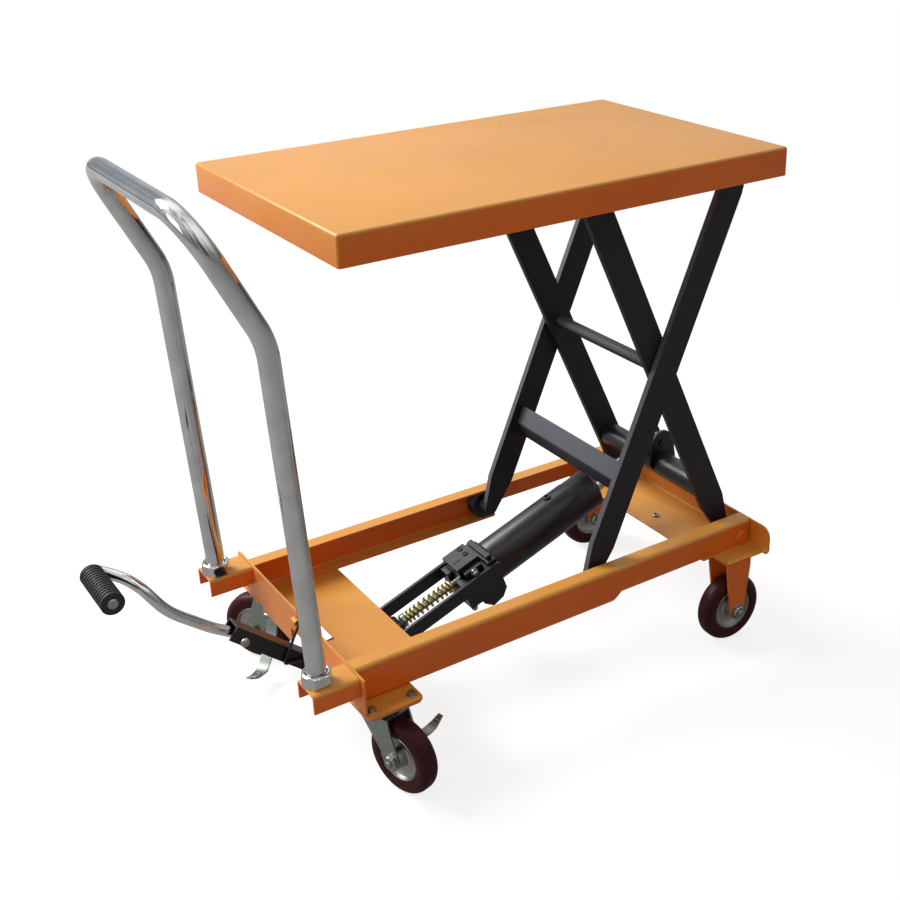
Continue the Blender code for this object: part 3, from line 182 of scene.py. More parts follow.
# %% Camera
CAMERA_PLACE = (-1.1363, -1.7889, 1.4383)
CAMERA_AZIMUTH = math.radians(-34.099)
CAMERA_ELEVATION = math.radians(23.706)
CAMERA_ROLL = math.radians(-0.906)
FOCAL_LENGTH = 53.29
SENSOR_WIDTH = 36.0
LENS_SHIFT = (-0.0961, -0.0607)

lens = bpy.data.cameras.new("camera")
lens.sensor_width = SENSOR_WIDTH
lens.lens = FOCAL_LENGTH
lens.shift_x = LENS_SHIFT[0]
lens.shift_y = LENS_SHIFT[1]
camera = bpy.data.objects.new("camera", lens)
bpy.context.scene.collection.objects.link(camera)
turn = (Matrix.Rotation(CAMERA_AZIMUTH, 4, "Z")
        @ Matrix.Rotation(math.pi / 2 - CAMERA_ELEVATION, 4, "X")
        @ Matrix.Rotation(CAMERA_ROLL, 4, "Z"))
camera.matrix_world = Matrix.Translation(at(*CAMERA_PLACE)) @ turn
bpy.context.scene.camera = camera
bpy.context.scene.view_settings.view_transform = "Standard"
print("camera at", [round(v, 3) for v in camera.matrix_world.translation])

# %% [markdown]
# ## Light and floor
#
# World, floor and finishes are all made of nodes. Nodes can be laid out by hand in the shader
# editor, but a tree built by code can be repeated with other numbers. A few helpers keep that
# code short: they start an empty tree, add a node with its values, and join two sockets.

# %% Nodes and links
OPAQUE = 1.0
WHITE = (1.0, 1.0, 1.0, OPAQUE)


def new_tree(owner):
    """An empty node tree on a material or a world."""
    owner.use_nodes = True
    owner.node_tree.nodes.clear()
    return owner.node_tree


def add(tree, kind, **values):
    """A node, with its inputs set by name and its settings as attributes."""
    node = tree.nodes.new("ShaderNode" + kind)
    for key, value in values.items():
        if hasattr(node, key):
            setattr(node, key, value)
        else:
            node.inputs[key.replace("_", " ")].default_value = value
    return node


def link(tree, output, target):
    """Join an output socket to an input socket."""
    tree.links.new(output, target)


print("three node helpers")

# %% [markdown]
# Light and finishes are mixed from few ingredients. Three of them join what is already there:
# sums and products of colours or numbers, one shader laid over another, and the two flags
# that tell which kind of ray is asking. Each is one short function, so that a finish further
# down reads like a recipe.

# %% Mixing with nodes
def combine(tree, kind, operation, first, second):
    """Two colours (VectorMath) or numbers (Math) put together; each is a socket or a value."""
    node = add(tree, kind, operation=operation)
    for socket, value in zip(node.inputs, (first, second)):
        if isinstance(value, bpy.types.NodeSocket):
            link(tree, value, socket)
        else:
            socket.default_value = value
    return node.outputs[0]


def mix(tree, share, first, second):
    """The first shader where the share is 0, the second where it is 1."""
    node = add(tree, "MixShader")
    for socket, output in zip(node.inputs, (share, first, second)):
        link(tree, output, socket)
    return node.outputs[0]


def ray_flags(tree):
    """Is the ray the camera's, and is it one that metal or glass sends on?"""
    rays = add(tree, "LightPath").outputs
    mirrored = combine(tree, "Math", "MAXIMUM", rays["Is Glossy Ray"],
                       rays["Is Transmission Ray"])
    return rays["Is Camera Ray"], mirrored


print("three ways to join nodes")

# %% [markdown]
# The other two bring in what is new: cloudy noise, and a band that turns a value into a grey
# or a colour. Nearly everything uneven about a real surface can be drawn with this pair, and
# neither needs a file.

# %% Noise and colour bands
def noise(tree, place, scale, detail, stretch=None):
    """Noise over a surface, its waves 1/scale metres long, stretched along an axis."""
    if stretch:
        mapping = add(tree, "Mapping")
        mapping.inputs["Scale"].default_value = stretch
        link(tree, place, mapping.inputs["Vector"])
        place = mapping.outputs[0]
    cloud = add(tree, "TexNoise", Scale=scale, Detail=detail)
    link(tree, place, cloud.inputs["Vector"])
    return cloud.outputs["Fac"]


def ramp(tree, value, stops):
    """Colours or greys read off a value."""
    band = add(tree, "ValToRGB")
    elements = band.color_ramp.elements
    while len(elements) < len(stops):
        elements.new(0.5)
    for element, (position, colour) in zip(elements, stops):
        element.position = position
        rgb = colour if isinstance(colour, tuple) else (colour,) * 3
        element.color = (*rgb, OPAQUE)
    link(tree, value, band.inputs[0])
    return band.outputs[0]


print("noise and colour bands ready")

# %% [markdown]
# Painted steel and chrome are mostly what they reflect, so the world does three jobs. The
# camera sees plain white behind the table. Paint gets a weak even fill. Polished metal sees a
# room: a white ceiling, paler and darker stretches of grey wall below it, bluish on the far
# side, and those draw the streaks along the chromed tube. A panorama of a real studio would
# do the same, but a few bands of colour need no file, and each can be set on its own.

# %% World
WORLD_LIGHT = 0.38
FILL_COLOUR = (1.0, 0.99, 0.97, OPAQUE)
WALL_GREY = 0.34
WALL_RISE = [(0.0, WALL_GREY), (0.22, WALL_GREY * 1.1), (0.50, 0.80), (0.80, 1.0)]
STRETCH_SCALE = 2.3
STRETCH_DETAIL = 1.5
STRETCH_SHAPE = (1.0, 1.0, 0.30)        # the stretches stand upright
STRETCH_GREYS = [(0.36, 0.16), (0.47, 0.62), (0.58, 1.0)]
CEILING = [(0.40, 0.0), (0.85, 0.40)]
FAR_WALL = [(0.15, 0.0), (0.75, (0.26, 0.29, 0.34))]

world = bpy.data.worlds.new("studio")
bpy.context.scene.world = world
tree = new_tree(world)
to_camera, mirrored = ray_flags(tree)
direction = add(tree, "TexCoord").outputs["Generated"]
parts = add(tree, "SeparateXYZ")
link(tree, direction, parts.inputs[0])
stretches = noise(tree, direction, STRETCH_SCALE, STRETCH_DETAIL, STRETCH_SHAPE)
stretches = ramp(tree, stretches, STRETCH_GREYS)
walls = combine(tree, "VectorMath", "MULTIPLY", ramp(tree, parts.outputs["Z"], WALL_RISE),
                stretches)
walls = combine(tree, "VectorMath", "ADD", walls, ramp(tree, parts.outputs["Z"], CEILING))
walls = combine(tree, "VectorMath", "ADD", walls, ramp(tree, parts.outputs["Y"], FAR_WALL))
room = add(tree, "Background", Strength=1.0)
link(tree, walls, room.inputs["Color"])
white = add(tree, "Background", Color=WHITE, Strength=1.0)
fill = add(tree, "Background", Color=FILL_COLOUR, Strength=WORLD_LIGHT)
seen = mix(tree, mirrored, fill.outputs[0], room.outputs[0])
seen = mix(tree, to_camera, seen, white.outputs[0])
link(tree, seen, add(tree, "OutputWorld").inputs[0])
print("world gives", WORLD_LIGHT)

# %% [markdown]
# One wide soft lamp stands high behind the handle, on the far side. It lights the top faces,
# reaches in under the raised deck and leaves the near sides to fall off to a deep colour. A
# weak one fills in from the handle's end. Area lamps are the usual choice for a studio,
# because their size sets how soft the shadows are.

# %% Lamps
LAMPS_AIM = (0.0, 0.0, 0.5)


def lamp(name, place, size, power):
    """A square soft lamp that looks at the middle of the table."""
    light = bpy.data.lights.new(name, "AREA")
    light.size = size
    light.energy = power
    item = bpy.data.objects.new(name, light)
    bpy.context.scene.collection.objects.link(item)
    item.location = at(*place)
    item.rotation_euler = (at(*LAMPS_AIM) - item.location).to_track_quat("-Z", "Y").to_euler()


lamp("high_lamp", (-4.2, 6.2, 7.0), 5.2, 1120.0)
lamp("handle_lamp", (-3.3, 0.3, 1.7), 1.6, 12.0)
print(len(bpy.data.lights), "lamps")

# %% [markdown]
# The floor is a real plane, so that the table stands in its own shadow. A plain white plane
# would need strong light to come out white, and that light would wash out the paint. So the
# floor is grey and glows for the camera only, and further out, where no shadow falls, it
# turns into the white of the background. Polished metal sees a tenth of the glow.

# %% Floor
FLOOR_SIZE = 60.0
FLOOR_DROP = 0.0005            # keeps the wheels' lowest points clear of the plane
FLOOR_GREY = 0.32
FLOOR_GLOW = 0.80
METAL_SHARE = 0.10
SHADOW_REACH = (1.3, 2.6)      # the shadow fades out between these distances

half = FLOOR_SIZE / 2
floor_mesh = bpy.data.meshes.new("floor")
floor_mesh.from_pydata([(-half, -half, 0), (half, -half, 0), (half, half, 0), (-half, half, 0)],
                       [], [(0, 1, 2, 3)])
floor = bpy.data.objects.new("floor", floor_mesh)
bpy.context.scene.collection.objects.link(floor)
floor.location.z = -FLOOR_DROP
look = bpy.data.materials.new("floor")
tree = new_tree(look)
to_camera, mirrored = ray_flags(tree)
paint = add(tree, "BsdfDiffuse", Color=(FLOOR_GREY,) * 3 + (OPAQUE,))
glow = add(tree, "Emission", Color=WHITE)
strength = combine(tree, "Math", "ADD",
                   combine(tree, "Math", "MULTIPLY", to_camera, FLOOR_GLOW),
                   combine(tree, "Math", "MULTIPLY", mirrored, FLOOR_GLOW * METAL_SHARE))
link(tree, strength, glow.inputs["Strength"])
near_floor = add(tree, "AddShader")
link(tree, paint.outputs[0], near_floor.inputs[0])
link(tree, glow.outputs[0], near_floor.inputs[1])
distance = add(tree, "VectorMath", operation="LENGTH")
link(tree, add(tree, "TexCoord").outputs["Object"], distance.inputs[0])
fade = add(tree, "MapRange", From_Min=SHADOW_REACH[0], From_Max=SHADOW_REACH[1])
link(tree, distance.outputs["Value"], fade.inputs["Value"])
away = combine(tree, "Math", "MULTIPLY", fade.outputs[0], to_camera)
white = add(tree, "Emission", Color=WHITE, Strength=1.0)
ground = mix(tree, away, near_floor.outputs[0], white.outputs[0])
link(tree, ground, add(tree, "OutputMaterial").inputs[0])
floor_mesh.materials.append(look)
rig.stage(floor)
print("floor", FLOOR_SIZE, "m wide")

# %% [markdown]
# ## Finishes
#
# A finish is more than a colour. Powder coat has an orange-peel skin of waves a few
# millimetres long, and its shade drifts a little over a large panel. Zinc has fine spangle,
# chrome has faint polishing lines, and cast polyurethane is slightly waxy. Image textures
# could hold all that, but they need unwrapped surfaces. Noise in the object's own space needs
# none, and it stays put when the part moves.

# %% Material helpers
def surface(name, colour, roughness, metallic=0.0):
    """A material with a Principled shader, and the pieces that a finish adds to."""
    look = bpy.data.materials.new(name)
    tree = new_tree(look)
    shader = add(tree, "BsdfPrincipled", Base_Color=(*colour, OPAQUE), Roughness=roughness,
                 Metallic=metallic)
    link(tree, shader.outputs[0], add(tree, "OutputMaterial").inputs[0])
    place = add(tree, "TexCoord").outputs["Object"]
    return look, tree, shader, place


def shade(colour, factor):
    """A lighter or darker version of a colour."""
    return tuple(min(1.0, c * factor) for c in colour)


def vary(tree, shader, socket, cloud, stops):
    """Let a cloud of noise drive one of the shader's sockets."""
    link(tree, ramp(tree, cloud, stops), shader.inputs[socket])


def bumps(tree, shader, height, strength, distance):
    """Bump a surface by a height."""
    bump = add(tree, "Bump", Strength=strength, Distance=distance)
    link(tree, height, bump.inputs["Height"])
    link(tree, bump.outputs[0], shader.inputs["Normal"])


print("material helpers ready")

# %% [markdown]
# Paint: the orange of the chassis and deck, the charcoal of the legs and the black of the
# hydraulics differ in colour, in gloss and in how coarse their skin is, so one function makes
# all three. Each paint also gets painted light: the faces that look up, and a little those
# that look to the handle's end, take a lighter colour, as if lit from there. A second colour,
# chosen by the way a face looks, paints that without a line where two faces meet.

# %% Paint
PAINTED_LIGHT_SIDE = (-0.32, 0.0, 1.0)      # the side whose light is painted into the paint's colour
# Painted light: a face's colour turns from the plain one to the lit one between these two turns towards that side.
PAINTED_LIGHT_START = 0.08
PAINTED_LIGHT_END = 0.60
PANEL_DRIFT_SCALE = 5.0
GLOSS_SCALE = 38.0
PEEL_SCALE = 330.0
PEEL_HEIGHT = 0.00035
COAT_ROUGHNESS = 0.16
# The second colour of each paint is painted light: a lighter copy for the faces that look up.
ORANGE = (0.88, 0.162, 0.008)
ORANGE_PAINTED_LIT = (0.82, 0.360, 0.058)
CHARCOAL = (0.018, 0.016, 0.023)
CHARCOAL_PAINTED_LIT = (0.118, 0.122, 0.144)
BLACK = (0.005, 0.005, 0.007)
BLACK_PAINTED_LIT = (0.022, 0.023, 0.027)
PAINTS = {                        # colour, painted lit colour, roughness, drift, peel, coat, gleam
    "orange_paint": (ORANGE, ORANGE_PAINTED_LIT, 0.38, 0.08, 0.10, 0.15, 0.36),
    "charcoal_paint": (CHARCOAL, CHARCOAL_PAINTED_LIT, 0.52, 0.16, 0.14, 0.0, 0.30),
    "black_paint": (BLACK, BLACK_PAINTED_LIT, 0.36, 0.14, 0.08, 0.05, 0.42),
}


def painted(name, colour, painted_lit, roughness, drift, peel, coat, gleam):
    """Sprayed paint with painted light, lighter where it looks up: drifting shade, patchy gloss, an orange peel."""
    look, tree, shader, place = surface(name, colour, roughness)
    # Painted light: the more a face looks to the lit side, the more it takes the lighter second colour.
    facing = add(tree, "VectorMath", operation="DOT_PRODUCT")
    link(tree, add(tree, "NewGeometry").outputs["Normal"], facing.inputs[0])
    facing.inputs[1].default_value = PAINTED_LIGHT_SIDE
    painted_light_hue = ramp(tree, facing.outputs["Value"], [(PAINTED_LIGHT_START, colour), (PAINTED_LIGHT_END, painted_lit)])
    cloud = ramp(tree, noise(tree, place, PANEL_DRIFT_SCALE, 3.0),
                 [(0.30, 1.0 - drift), (0.70, 1.0)])
    link(tree, combine(tree, "VectorMath", "MULTIPLY", painted_light_hue, cloud), shader.inputs["Base Color"])
    vary(tree, shader, "Roughness", noise(tree, place, GLOSS_SCALE, 4.0),
         [(0.30, roughness - 0.05), (0.75, roughness + 0.07)])
    bumps(tree, shader, noise(tree, place, PEEL_SCALE, 1.0), peel, PEEL_HEIGHT)
    shader.inputs["Specular IOR Level"].default_value = gleam
    shader.inputs["Coat Weight"].default_value = coat
    shader.inputs["Coat Roughness"].default_value = COAT_ROUGHNESS
    return look


finishes = {name: painted(name, *values) for name, values in PAINTS.items()}
print("paints:", sorted(finishes))

# %% [markdown]
# Bare and plated metal: chrome on the handle and pedal bar, dull zinc on forks and brackets,
# yellow passivated zinc on the pump's spring, rough cast metal in the wheels. The colour sits
# in the metal itself, and the roughness varies where the plating bath left its grain. One
# roughness all over would be simpler, and it is what makes metal look like plastic foil.

# %% Metal
LINE_HEIGHT = 0.0002
METALS = {                        # colour, roughness, grain, scale, stretch, lines
    "chrome": ((0.60, 0.60, 0.59), 0.08, 0.03, 60.0, (1.0, 1.0, 0.1), 0.03),
    "zinc": ((0.31, 0.335, 0.30), 0.36, 0.08, 160.0, None, 0.06),
    "yellow_zinc": ((0.66, 0.58, 0.25), 0.26, 0.08, 220.0, None, 0.0),
    "wheel_core": ((0.40, 0.40, 0.37), 0.42, 0.08, 120.0, None, 0.08),
}


def plated(name, colour, roughness, grain, scale, stretch, lines):
    """Plated steel: grain in the gloss and, for polished tube, fine lines along it."""
    look, tree, shader, place = surface(name, colour, roughness, 1.0)
    cloud = noise(tree, place, scale, 3.0, stretch)
    vary(tree, shader, "Roughness", cloud,
         [(0.25, max(0.02, roughness - grain)), (0.75, roughness + grain)])
    vary(tree, shader, "Base Color", noise(tree, place, scale * 0.4, 2.0),
         [(0.30, shade(colour, 0.88)), (0.70, shade(colour, 1.06))])
    if lines:
        bumps(tree, shader, cloud, lines, LINE_HEIGHT)
    return look


for name, values in METALS.items():
    finishes[name] = plated(name, *values)
print("metals:", list(METALS))

# %% [markdown]
# Rubber and polyurethane: the treads are a dark maroon, cast smooth and a little waxy, so
# light goes a short way into them. The pedal's grip is dull black rubber. Both are cast, so
# they share a function, and only the tread has the waxy depth.

# %% Treads and grip
CAST_HEIGHT = 0.0003
WAX_REACH = (0.006, 0.0015, 0.0012)    # how far red, green and blue light go in
CAST = {                               # colour, roughness, scale, peel, gleam, waxy depth
    "maroon_tread": ((0.052, 0.010, 0.011), 0.36, 45.0, 0.10, 0.12, 0.15),
    "black_rubber": ((0.012, 0.012, 0.013), 0.58, 90.0, 0.25, 0.50, 0.0),
}


def moulded(name, colour, roughness, scale, peel, gleam, depth):
    """Cast rubber or polyurethane, faintly mottled."""
    look, tree, shader, place = surface(name, colour, roughness)
    vary(tree, shader, "Base Color", noise(tree, place, scale, 4.0),
         [(0.30, shade(colour, 0.82)), (0.72, shade(colour, 1.18))])
    vary(tree, shader, "Roughness", noise(tree, place, scale * 2.6, 3.0),
         [(0.30, roughness - 0.06), (0.70, roughness + 0.10)])
    bumps(tree, shader, noise(tree, place, scale * 9.0, 2.0), peel, CAST_HEIGHT)
    shader.inputs["Specular IOR Level"].default_value = gleam
    if depth:
        shader.inputs["Subsurface Weight"].default_value = depth
        shader.inputs["Subsurface Radius"].default_value = WAX_REACH
        shader.inputs["Subsurface Scale"].default_value = 1.0
    return look


for name, values in CAST.items():
    finishes[name] = moulded(name, *values)
print("cast finishes:", list(CAST))

# %% [markdown]
# ## Soft edges on the sheet metal
#
# Bent and sheared steel never has a perfectly sharp edge, and the thin bright line along an
# edge tells the eye how thick the metal is. Each part of the frame is copied, its coplanar
# faces are joined, and a narrow bevel rounds whatever is sharper than the facets of its
# curves. A bevel in the shader would be quicker, but it rounds only the light. The copy
# stands for the part.

# %% From a form to a finished piece
FACET_ANGLE = math.radians(32.0)
BEVEL_STEPS = 2


def object_from(name, form):
    """An object from a bmesh, smooth except at its sharp edges."""
    bmesh.ops.recalc_face_normals(form, faces=form.faces)
    mesh = bpy.data.meshes.new(name)
    form.to_mesh(mesh)
    form.free()
    mesh.shade_smooth()
    mesh.set_sharp_from_angle(angle=FACET_ANGLE)
    item = bpy.data.objects.new(name, mesh)
    bpy.context.scene.collection.objects.link(item)
    return item


def soften(item, width):
    """Round an item's sharp edges by a bevel."""
    step = item.modifiers.new("edges", "BEVEL")
    step.width = width
    step.segments = BEVEL_STEPS
    step.limit_method = "ANGLE"
    step.angle_limit = FACET_ANGLE
    step.harden_normals = True


def finish_piece(item, body, slot, node=None):
    """Give a piece its finish, put it on its body and say which part it stands for."""
    item.data.materials.clear()
    item.data.materials.append(finishes[slot])
    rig.ride(item, body)
    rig.slot(item, slot)
    if node:
        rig.replaces(item, node)


def made(name, form, body, slot, node=None, width=0.0):
    """Turn a bmesh into a finished piece on its body."""
    item = object_from(name, form)
    if width:
        soften(item, width)
    finish_piece(item, body, slot, node)


print("bevel where edges turn more than", round(math.degrees(FACET_ANGLE)), "degrees")

# %% [markdown]
# The round parts named here are left out, because the next steps make them again. All others
# are copied. A part of the frame is made of triangles, so its points are joined first and its
# flat faces made whole. Otherwise the bevel would meet an edge at every triangle.

# %% Copies with soft edges
WELD_DISTANCE = 1e-5
FLAT_ANGLE = math.radians(0.3)
EDGE_WIDTH = 0.0006
WIDER_EDGES = {"deck": 0.0012, "front_plate": 0.0008, "handle_end_plate": 0.0008}
TURNED_AGAIN = {"push_handle", "plunger_spring", "cylinder_barrel", "pedal_bar", "pedal_grip",
                "centre_axle", "lower_pivot_shaft", "inner_cross_tube", "pump_block"}
for name, _ in SIDES:
    TURNED_AGAIN |= {f"handle_nut_{name}", f"lower_roller_{name}", f"caster_brake_{name}"}
    TURNED_AGAIN |= {f"{place}_{kind}_{name}" for place in ("front", "caster")
                     for kind in ("tyre", "core")}


def welded_copy(node):
    """A part's mesh with its points shared and its flat faces whole."""
    form = bmesh.new()
    form.from_mesh(nodes[node].data)
    bmesh.ops.remove_doubles(form, verts=form.verts, dist=WELD_DISTANCE)
    bmesh.ops.dissolve_limit(form, angle_limit=FLAT_ANGLE, verts=form.verts, edges=form.edges)
    return form


slots = {part["node"]: part["material_slot"] for part in frame["record"]["subparts"]}
copied = [node for node in sorted(nodes) if node not in TURNED_AGAIN]
for node in copied:
    made(node + "_form", welded_copy(node), nodes[node]["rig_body"], slots[node], node,
         WIDER_EDGES.get(node, EDGE_WIDTH))
print(len(copied), "parts with soft edges")

# %% [markdown]
# ## Round pieces, turned and swept again
#
# A wheel or a tube shows every facet in its reflections. These pieces are made again from
# the same sizes with many more steps. A turned piece is a profile spun round an axis, as on a
# lathe. The Screw modifier could do it too, but bmesh's spin gives a plain mesh at once.

# %% Turning
TURN_STEPS = 96
SAME_PLACE = 1e-6


def placed(place, x_way, y_way, z_way):
    """A frame at a place, with its own X, Y and Z along three directions."""
    return Matrix.Translation(place) @ Matrix((x_way, y_way, z_way)).transposed().to_4x4()


def frame_along(place, axis):
    """A frame at a place whose Y runs along an axis."""
    along = Vector(axis).normalized()
    side = along.cross(UP)
    if side.length < SAME_PLACE:
        side = Vector((1.0, 0.0, 0.0))
    side.normalize()
    return placed(place, side, along, side.cross(along))


def lathe(name, profile, place, axis, ring=False):
    """(along, radius) points turned round an axis through a place."""
    form = bmesh.new()
    verts = [form.verts.new((radius, along, 0.0)) for along, radius in profile]
    pairs = list(zip(verts, verts[1:])) + ([(verts[-1], verts[0])] if ring else [])
    edges = [form.edges.new(pair) for pair in pairs]
    bmesh.ops.spin(form, geom=verts + edges, cent=(0, 0, 0), axis=(0, 1, 0), angle=math.tau,
                   steps=TURN_STEPS, use_merge=True)
    bmesh.ops.remove_doubles(form, verts=form.verts, dist=SAME_PLACE)
    form.transform(frame_along(place, axis))
    return object_from(name, form)


def both_sides(side):
    """A half profile with its mirror image, right round."""
    return side + [(-along, radius) for along, radius in side[::-1]]


print("turning with", TURN_STEPS, "steps")

# %% [markdown]
# A bent bar follows a path. A curve object does that as well, but its corners depend on
# handles that are hard to place by numbers. Here a path is a plain list of points: straight
# runs joined by arcs where a former bent the tube, or one flowing curve through chosen places.

# %% Paths
def rounded(points, radii, steps):
    """A path whose corners are replaced by arcs, with one radius for each corner."""
    result = [points[0]]
    for before, corner, after, radius in zip(points, points[1:], points[2:], radii):
        back = (before - corner).normalized()
        ahead = (after - corner).normalized()
        half_angle = back.angle(ahead) / 2
        centre = corner + (back + ahead).normalized() * radius / math.sin(half_angle)
        reach = radius / math.tan(half_angle)
        first = (corner + back * reach - centre).normalized()
        last = (corner + ahead * reach - centre).normalized()
        result += [centre + first.slerp(last, i / steps) * radius for i in range(steps + 1)]
    return result + [points[-1]]


def smooth_path(points, steps):
    """A curve through points, each stretch eased by the two points beyond its ends."""
    ends = [points[0] * 2 - points[1]] + list(points) + [points[-1] * 2 - points[-2]]
    path = []
    for before, start, end, after in zip(ends, ends[1:], ends[2:], ends[3:]):
        for i in range(steps):
            t = i / steps
            path.append(((start * 2) + (end - before) * t
                         + (before * 2 - start * 5 + end * 4 - after) * t ** 2
                         + (start * 3 - before - end * 3 + after) * t ** 3) / 2)
    return path + [points[-1]]


print("arcs and flowing curves ready")

# %% [markdown]
# A round bar is a ring of points carried along such a path and joined to the next ring. The
# ring is turned as little as possible from one place to the next, so that the bar doesn't
# twist in its bends.

# %% Sweeping
def ahead_at(path, i):
    """The way a path runs at one of its points."""
    return (path[min(i + 1, len(path) - 1)] - path[max(i - 1, 0)]).normalized()


def join_rings(form, rings):
    """Walls from each ring of points to the next, and a face on both ends."""
    for lower, upper in zip(rings, rings[1:]):
        for k in range(len(lower)):
            n = (k + 1) % len(lower)
            form.faces.new((lower[k], lower[n], upper[n], upper[k]))
    form.faces.new(rings[0][::-1])
    form.faces.new(rings[-1])


def sweep(name, path, radius, sides):
    """A round bar along a path, from one ring of points to the next."""
    form = bmesh.new()
    rings = []
    normal = ahead_at(path, 0).orthogonal()
    for i, place in enumerate(path):
        along = ahead_at(path, i)
        normal = (normal - along * normal.dot(along)).normalized()
        side = along.cross(normal)
        turns = [math.tau * k / sides for k in range(sides)]
        rings.append([form.verts.new(place + normal * radius * math.cos(angle)
                                     + side * radius * math.sin(angle)) for angle in turns])
    join_rings(form, rings)
    return object_from(name, form)


print("sweeping ready, ends closed")

# %% [markdown]
# ### Hardware
#
# Bolts, nuts and washers repeat all over the table, so they come from one function. A hexagon
# is a turned profile whose radius is held back to the flats, which gives the curved chamfer
# that a real nut has where its turned top meets the six sides. Cutting a cone off a prism
# gives the same shape with a far messier mesh.

# %% Turned solids
HARDWARE_STEPS = 48


def add_turned(form, profile, place, axis, flats=None, steps=HARDWARE_STEPS):
    """Turn an (along, radius) profile into a closed solid; flats gives it a hexagon's sides."""
    matrix = frame_along(place, axis)
    rings = []
    for along, radius in profile:
        if radius < SAME_PLACE:
            rings.append([form.verts.new(matrix @ Vector((0.0, along, 0.0)))])
            continue
        ring = []
        for k in range(steps):
            angle = math.tau * k / steps
            reach = radius
            if flats:
                fold = (angle % (math.tau / 6)) - math.tau / 12
                reach = min(radius, flats / 2 / math.cos(fold))
            ring.append(form.verts.new(matrix @ Vector((reach * math.cos(angle), along,
                                                        reach * math.sin(angle)))))
        rings.append(ring)
    for lower, upper in zip(rings, rings[1:]):
        for k in range(steps):
            n = (k + 1) % steps
            corners = [lower[k % len(lower)], lower[n % len(lower)],
                       upper[n % len(upper)], upper[k % len(upper)]]
            form.faces.new(list(dict.fromkeys(corners)))


print("hardware with", HARDWARE_STEPS, "steps")

# %% [markdown]
# Heads and plates are added to a shared mesh rather than kept as objects of their own:
# fasteners of one finish on one body share an object, which keeps the list of pieces short.
# A head reaches a little into what it stands on, so that no gap shows under it.

# %% Bolts, screws and plates
WASHER_THICKNESS = 0.0016
SUNK = 0.0002                     # how far a head reaches into what it stands on
ROUNDING = 0.0008


def add_bolt(form, place, axis, flats, height, washer):
    """A hexagon head with a chamfered top, on a washer of a given radius."""
    corner = flats / math.sqrt(3.0)
    base = WASHER_THICKNESS
    add_turned(form, [(-SUNK, 0.0), (-SUNK, washer), (base - 0.0004, washer),
                      (base, washer - 0.0004), (base, 0.0)], place, axis)
    add_turned(form, [(base, 0.0), (base, corner * 0.97), (base + ROUNDING, corner),
                      (base + height - 0.0022, corner), (base + height, flats * 0.47),
                      (base + height, 0.0)], place, axis, flats)


def add_cap_screw(form, place, axis, radius, height):
    """A round head with a socket."""
    socket = radius * 0.52
    floor = height * 0.35
    add_turned(form, [(-SUNK, 0.0), (-SUNK, radius), (height - ROUNDING, radius),
                      (height, radius - ROUNDING), (height, socket), (floor, socket * 0.95),
                      (floor, 0.0)], place, axis)


def add_box(form, low, high, matrix):
    """A box between two corners, in a frame of its own."""
    low, high = Vector(low), Vector(high)
    place = Matrix.Translation((low + high) / 2) @ Matrix.Diagonal((*(high - low), 1.0))
    bmesh.ops.create_cube(form, size=1.0, matrix=matrix @ place)


def add_slab(form, outline, low, high, matrix):
    """A flat outline of (x, z) points given thickness from low to high across it."""
    join_rings(form, [[form.verts.new(matrix @ Vector((x, y, z))) for x, z in outline]
                      for y in (low, high)])


print("washers", WASHER_THICKNESS, "m thick")

# %% [markdown]
# ### Push handle
#
# One chromed tube: two uprights that lean back at the knee and meet in the top bar. It is one
# path from foot to foot, because a real handle is bent from a single length. Joining straight
# cylinders would leave seams, and chrome shows every seam.

# %% Push handle
TUBE_RADIUS = 0.016
HANDLE_HALF_WIDTH = 0.200
HANDLE_X = -0.473
KNEE = (-0.4985, 0.788)
TOP_BAR = (-0.5900, 0.974)
KNEE_RADIUS = 0.130
CORNER_RADIUS = 0.072
ARC_STEPS = 20
TUBE_SIDES = 64

foot_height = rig.box("push_handle")[0].z - MIDDLE.z
upright = [(HANDLE_X, foot_height), (HANDLE_X, foot_height + TUBE_RADIUS), KNEE, TOP_BAR]
far_line = [at(x, HANDLE_HALF_WIDTH, z) for x, z in upright]
near_line = [at(x, -HANDLE_HALF_WIDTH, z) for x, z in upright]
bends = [KNEE_RADIUS, KNEE_RADIUS, CORNER_RADIUS]
path = rounded(far_line + near_line[::-1], bends + bends[::-1], ARC_STEPS)
handle = sweep("push_handle_tube", path, TUBE_RADIUS, TUBE_SIDES)
finish_piece(handle, "chassis", "chrome", "push_handle")
print("handle tube", len(handle.data.polygons), "faces")

# %% [markdown]
# Each foot of the handle stands in a chromed union nut, wider than the tube and domed at the
# top. It is the hardware's hexagon again, on a taller profile with a quarter circle for its
# dome, and with enough steps for its size.

# %% Union nuts
NUT_FLATS = 0.0445
NUT_CORNER = NUT_FLATS / math.sqrt(3.0)
NUT_HEIGHT = 0.021
NUT_MOUTH = 0.0185                # the dome's radius at the top
DOME_START = 0.55                 # the share of the height below the dome

